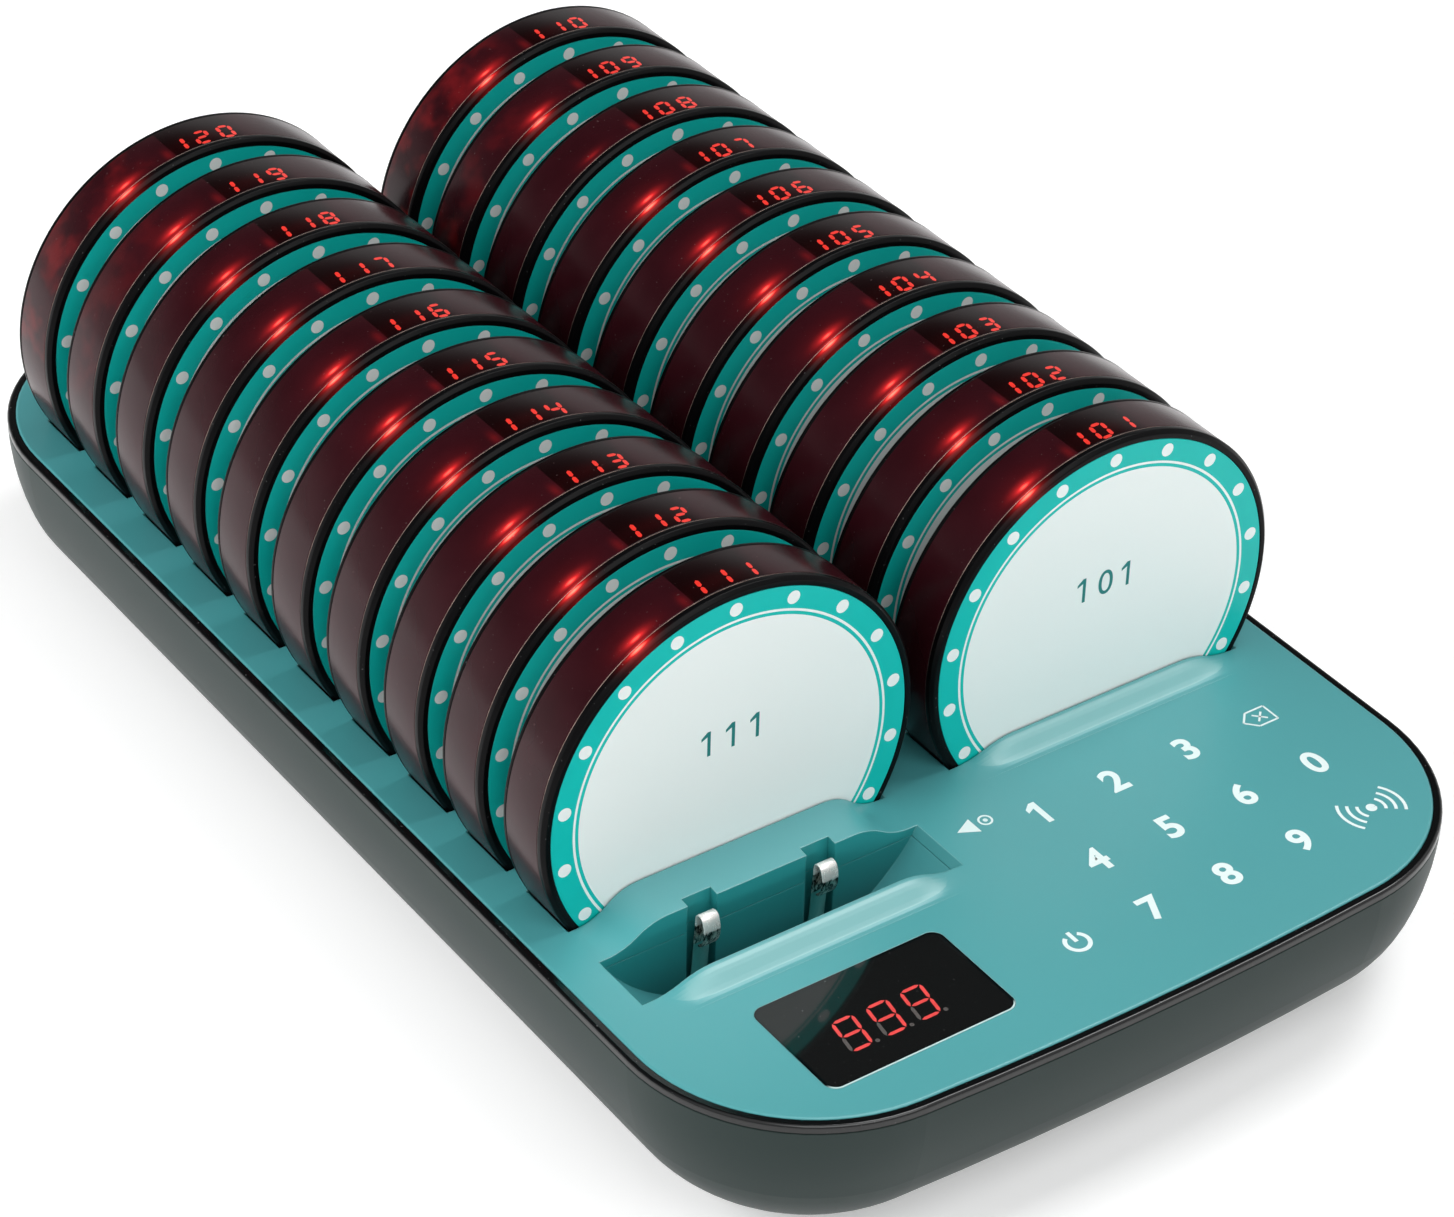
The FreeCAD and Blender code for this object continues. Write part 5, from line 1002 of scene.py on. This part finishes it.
def make_contact_leaf(hand):
    """One leaf: its middle line thickened to a strip, leaned forward about its foot and carried across
    the leaf's width, with the strip drawn in a little at both sides.

    A point (y, z) leans by a to (y cos a - z sin a, z cos a + y sin a).
    """
    node = "set_contact_" + hand
    low, high = (Vector(corner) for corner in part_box(node))
    half, lean, round_in = 0.2 * MM, math.radians(5), 0.12 * MM
    foot_y, foot_z = high[1] - half, low[2]
    line = leaf_centreline(high[2] - foot_z - 1.4 * MM)
    ahead = np.gradient(line, axis=0)
    ahead /= np.linalg.norm(ahead, axis=1)[:, None]
    normal = np.stack([ahead[:, 1], -ahead[:, 0]], axis=1)
    stations = [(low[0], half - round_in), (low[0] + round_in, half), (high[0] - round_in, half),
                (high[0], half - round_in)]
    rings = []
    for x, thick in stations:
        loop = np.concatenate([line + normal * thick, (line - normal * thick)[::-1]])
        y = loop[:, 0] * math.cos(lean) - loop[:, 1] * math.sin(lean) + foot_y
        z = loop[:, 1] * math.cos(lean) + loop[:, 0] * math.sin(lean) + foot_z
        rings.append(np.stack([np.full(len(loop), x), y, z], axis=1))
    count = len(rings[0])
    points = np.concatenate(rings)
    faces = [(start + i, start + (i + 1) % count, start + count + (i + 1) % count, start + count + i)
             for start in range(0, count * 3, count) for i in range(count)]
    for start in (0, count * 3):
        faces += [(start + i, start + i + 1, start + count - 2 - i, start + count - 1 - i)
                  for i in range(len(line) - 1)]
    piece = mesh_piece(node + "_leaf", points, np.array(faces))
    close_poles(piece)
    finish_piece(piece, SLOT_LEAF, node)
    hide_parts(node)


# ---- CAD nodes that stay

def dress_cad_nodes():
    """Materials of the base's own pieces and of the pieces inside pager 101."""
    dress(TEAL, "top_cover", "setting_well", "slot_wells")
    dress(SHELL, "bottom_shell")
    dress(TRIM, "trim_ring")
    dress(WINDOW, "display_window")
    dress(STEEL, "cover_screws", "board_screws", "radio_module", "pager_101_screws",
          "pager_101_vibration_motor", "pager_101_charge_pads")
    dress(RUBBER, "rubber_feet")
    dress(BOARD, "charge_board_left", "charge_board_right", "main_board", "inlet_board", "touch_sensor",
          "pager_101_circuit_board")
    dress(BLACK, "display_module", "base_sounder", "dc_jack", "power_switch_frame", "power_switch_rocker",
          "power_lead", "charge_leads", "pager_101_sounder", "pager_101_number_display")
    dress(PALE, "keypad_connector", "contact_holders", "pager_101_lamps")
    dress(LEAF, "charge_contacts", "antenna")
    dress(BRASS, "dc_jack_pin")
    dress(FOIL, "pager_101_battery")


# ---- room, light and camera

def make_room():
    """A pale floor, and a room that is pale near the horizon, most on the left, under a dim ceiling.

    The room's light is dim + (right + more * left share) * fade, where the left share runs from 0 on the
    right to 1 on the left, and fade falls from 1 near the horizon to 0 high up. Mirrored rays see a
    darker ceiling, a low pale wall on the left, a higher one on the right and one in front of the keypad.
    """
    half = 6.0
    points = np.array([(-half, -half, 0), (half, -half, 0), (half, half, 0), (-half, half, 0)])
    floor = mesh_piece("floor", points, np.array([[0, 1, 2, 3]]), smooth=False)
    material, net, shader = new_material("pale_floor")
    shader.inputs["Base Color"].default_value = (0.9, 0.9, 0.9, 1)
    shader.inputs["Roughness"].default_value = 0.9
    shader.inputs["Specular IOR Level"].default_value = 0.0
    rays = net.node("ShaderNodeLightPath").outputs
    seen = net.math("MAXIMUM", rays["Is Camera Ray"],
                    net.math("MAXIMUM", rays["Is Glossy Ray"], rays["Is Transmission Ray"]))
    net.put(shader.inputs["Emission Strength"], net.times(seen, 0.34))
    shader.inputs["Emission Color"].default_value = (1, 1, 1, 1)
    floor.data.materials.append(material)

    world = bpy.context.scene.world or bpy.data.worlds.new("studio")
    bpy.context.scene.world = world
    world.use_nodes = True
    net = Net(world.node_tree)
    background = world.node_tree.nodes["Background"]
    direction = net.xy(net.node("ShaderNodeTexCoord").outputs["Generated"])
    fade = net.range(direction[2], 1.0, 0.0, 0.08, 0.6)
    left = net.range(direction[0], 1.0, 0.0, -1.0, 0.6)
    dim, right, more, dark = 0.1, 0.3, 0.6, 0.015
    light = net.times(net.math("ADD", net.times(left, more), right), fade)
    light = net.math("ADD", light, dim)
    front_wall = net.times(net.range(direction[1], 0.8, 0.0, 0.0, 0.4),
                           net.range(direction[2], 0.0, 1.0, 0.15, 0.45))
    left_wall = net.range(direction[2], 0.64, 0.0, 0.05, 0.47)
    right_wall = net.range(direction[2], 0.6, 0.0, 0.36, 0.56)
    on_left = net.range(direction[0], 1.0, 0.0, -0.2, 0.5)
    walls = net.math("ADD", net.times(left_wall, on_left),
                     net.times(right_wall, net.math("SUBTRACT", 1.0, on_left)))
    image = net.math("ADD", net.math("MAXIMUM", front_wall, walls), dark)
    mirrored = net.node("ShaderNodeLightPath").outputs["Is Glossy Ray"]
    change = net.times(mirrored, net.math("SUBTRACT", image, light))
    net.put(background.inputs["Strength"], net.math("ADD", light, change))
    background.inputs["Color"].default_value = (1, 1, 1, 1)


def area_lamp(name, place, aim, size, power, in_gloss):
    """A soft rectangular lamp that looks at aim; in_gloss says whether polished pieces mirror it."""
    light = bpy.data.lights.new(name, "AREA")
    light.shape = "RECTANGLE"
    light.size, light.size_y = size
    light.energy = power
    lamp = bpy.data.objects.new(name, light)
    lamp.location = place
    lamp.rotation_euler = (Vector(aim) - Vector(place)).to_track_quat("-Z", "Y").to_euler()
    lamp.visible_glossy = in_gloss
    bpy.context.scene.collection.objects.link(lamp)


def make_lamps():
    """Two lamps that the polished pieces mirror, and two that only light, from the left and the front."""
    area_lamp("ceiling_light", (-0.15, -0.95, 1.25), (0, 0, 0.05), (1.3, 0.9), 9.0, True)
    area_lamp("upper_right_light", (0.68, -0.08, 1.42), (0, -0.1, 0.05), (0.5, 0.9), 9.5, True)
    area_lamp("left_light", (-1.25, 0.45, 0.85), (0, 0, 0.05), (1.3, 0.8), 18.0, False)
    area_lamp("front_light", (0.35, -1.55, 0.22), (0, 0, 0.06), (1.4, 0.2), 4.0, False)


def make_camera():
    """Camera that sees the whole object from its left front, turned a little about its own axis.

    With a the turn from the keypad end and e the height angle, the camera looks back along
    (-sin a cos e, -cos a cos e, sin e).
    """
    turn, height, roll = (math.radians(angle) for angle in (35.8332, 35.9003, 1.54))
    distance, aim_left, aim_up = 0.9206, 1.99 * MM, 34.77 * MM      # aim measured from pager 111's face
    level = math.cos(height)
    back = Vector((-math.sin(turn) * level, -math.cos(turn) * level, math.sin(height)))
    right = Vector((math.cos(turn), -math.sin(turn), 0.0))
    up = back.cross(right)
    across = right * math.cos(roll) + up * math.sin(roll)
    above = up * math.cos(roll) - right * math.sin(roll)
    aim = Vector(pager_centre(111)) - right * aim_left + up * aim_up
    data = bpy.data.cameras.new("camera")
    data.lens = 108.4
    data.sensor_width = 36.0
    camera = bpy.data.objects.new("camera", data)
    axes = Matrix((across, above, back)).transposed()
    camera.matrix_world = Matrix.Translation(aim + back * distance) @ axes.to_4x4()
    bpy.context.scene.collection.objects.link(camera)
    bpy.context.scene.camera = camera


make_camera()
make_room()
make_lamps()
dress_cad_nodes()
make_keypad_print()
make_base_figures()
for hand in ("left", "right"):
    make_contact_leaf(hand)
for pager in PAGERS:
    make_pager(pager)
bpy.context.scene.view_settings.view_transform = "Standard"
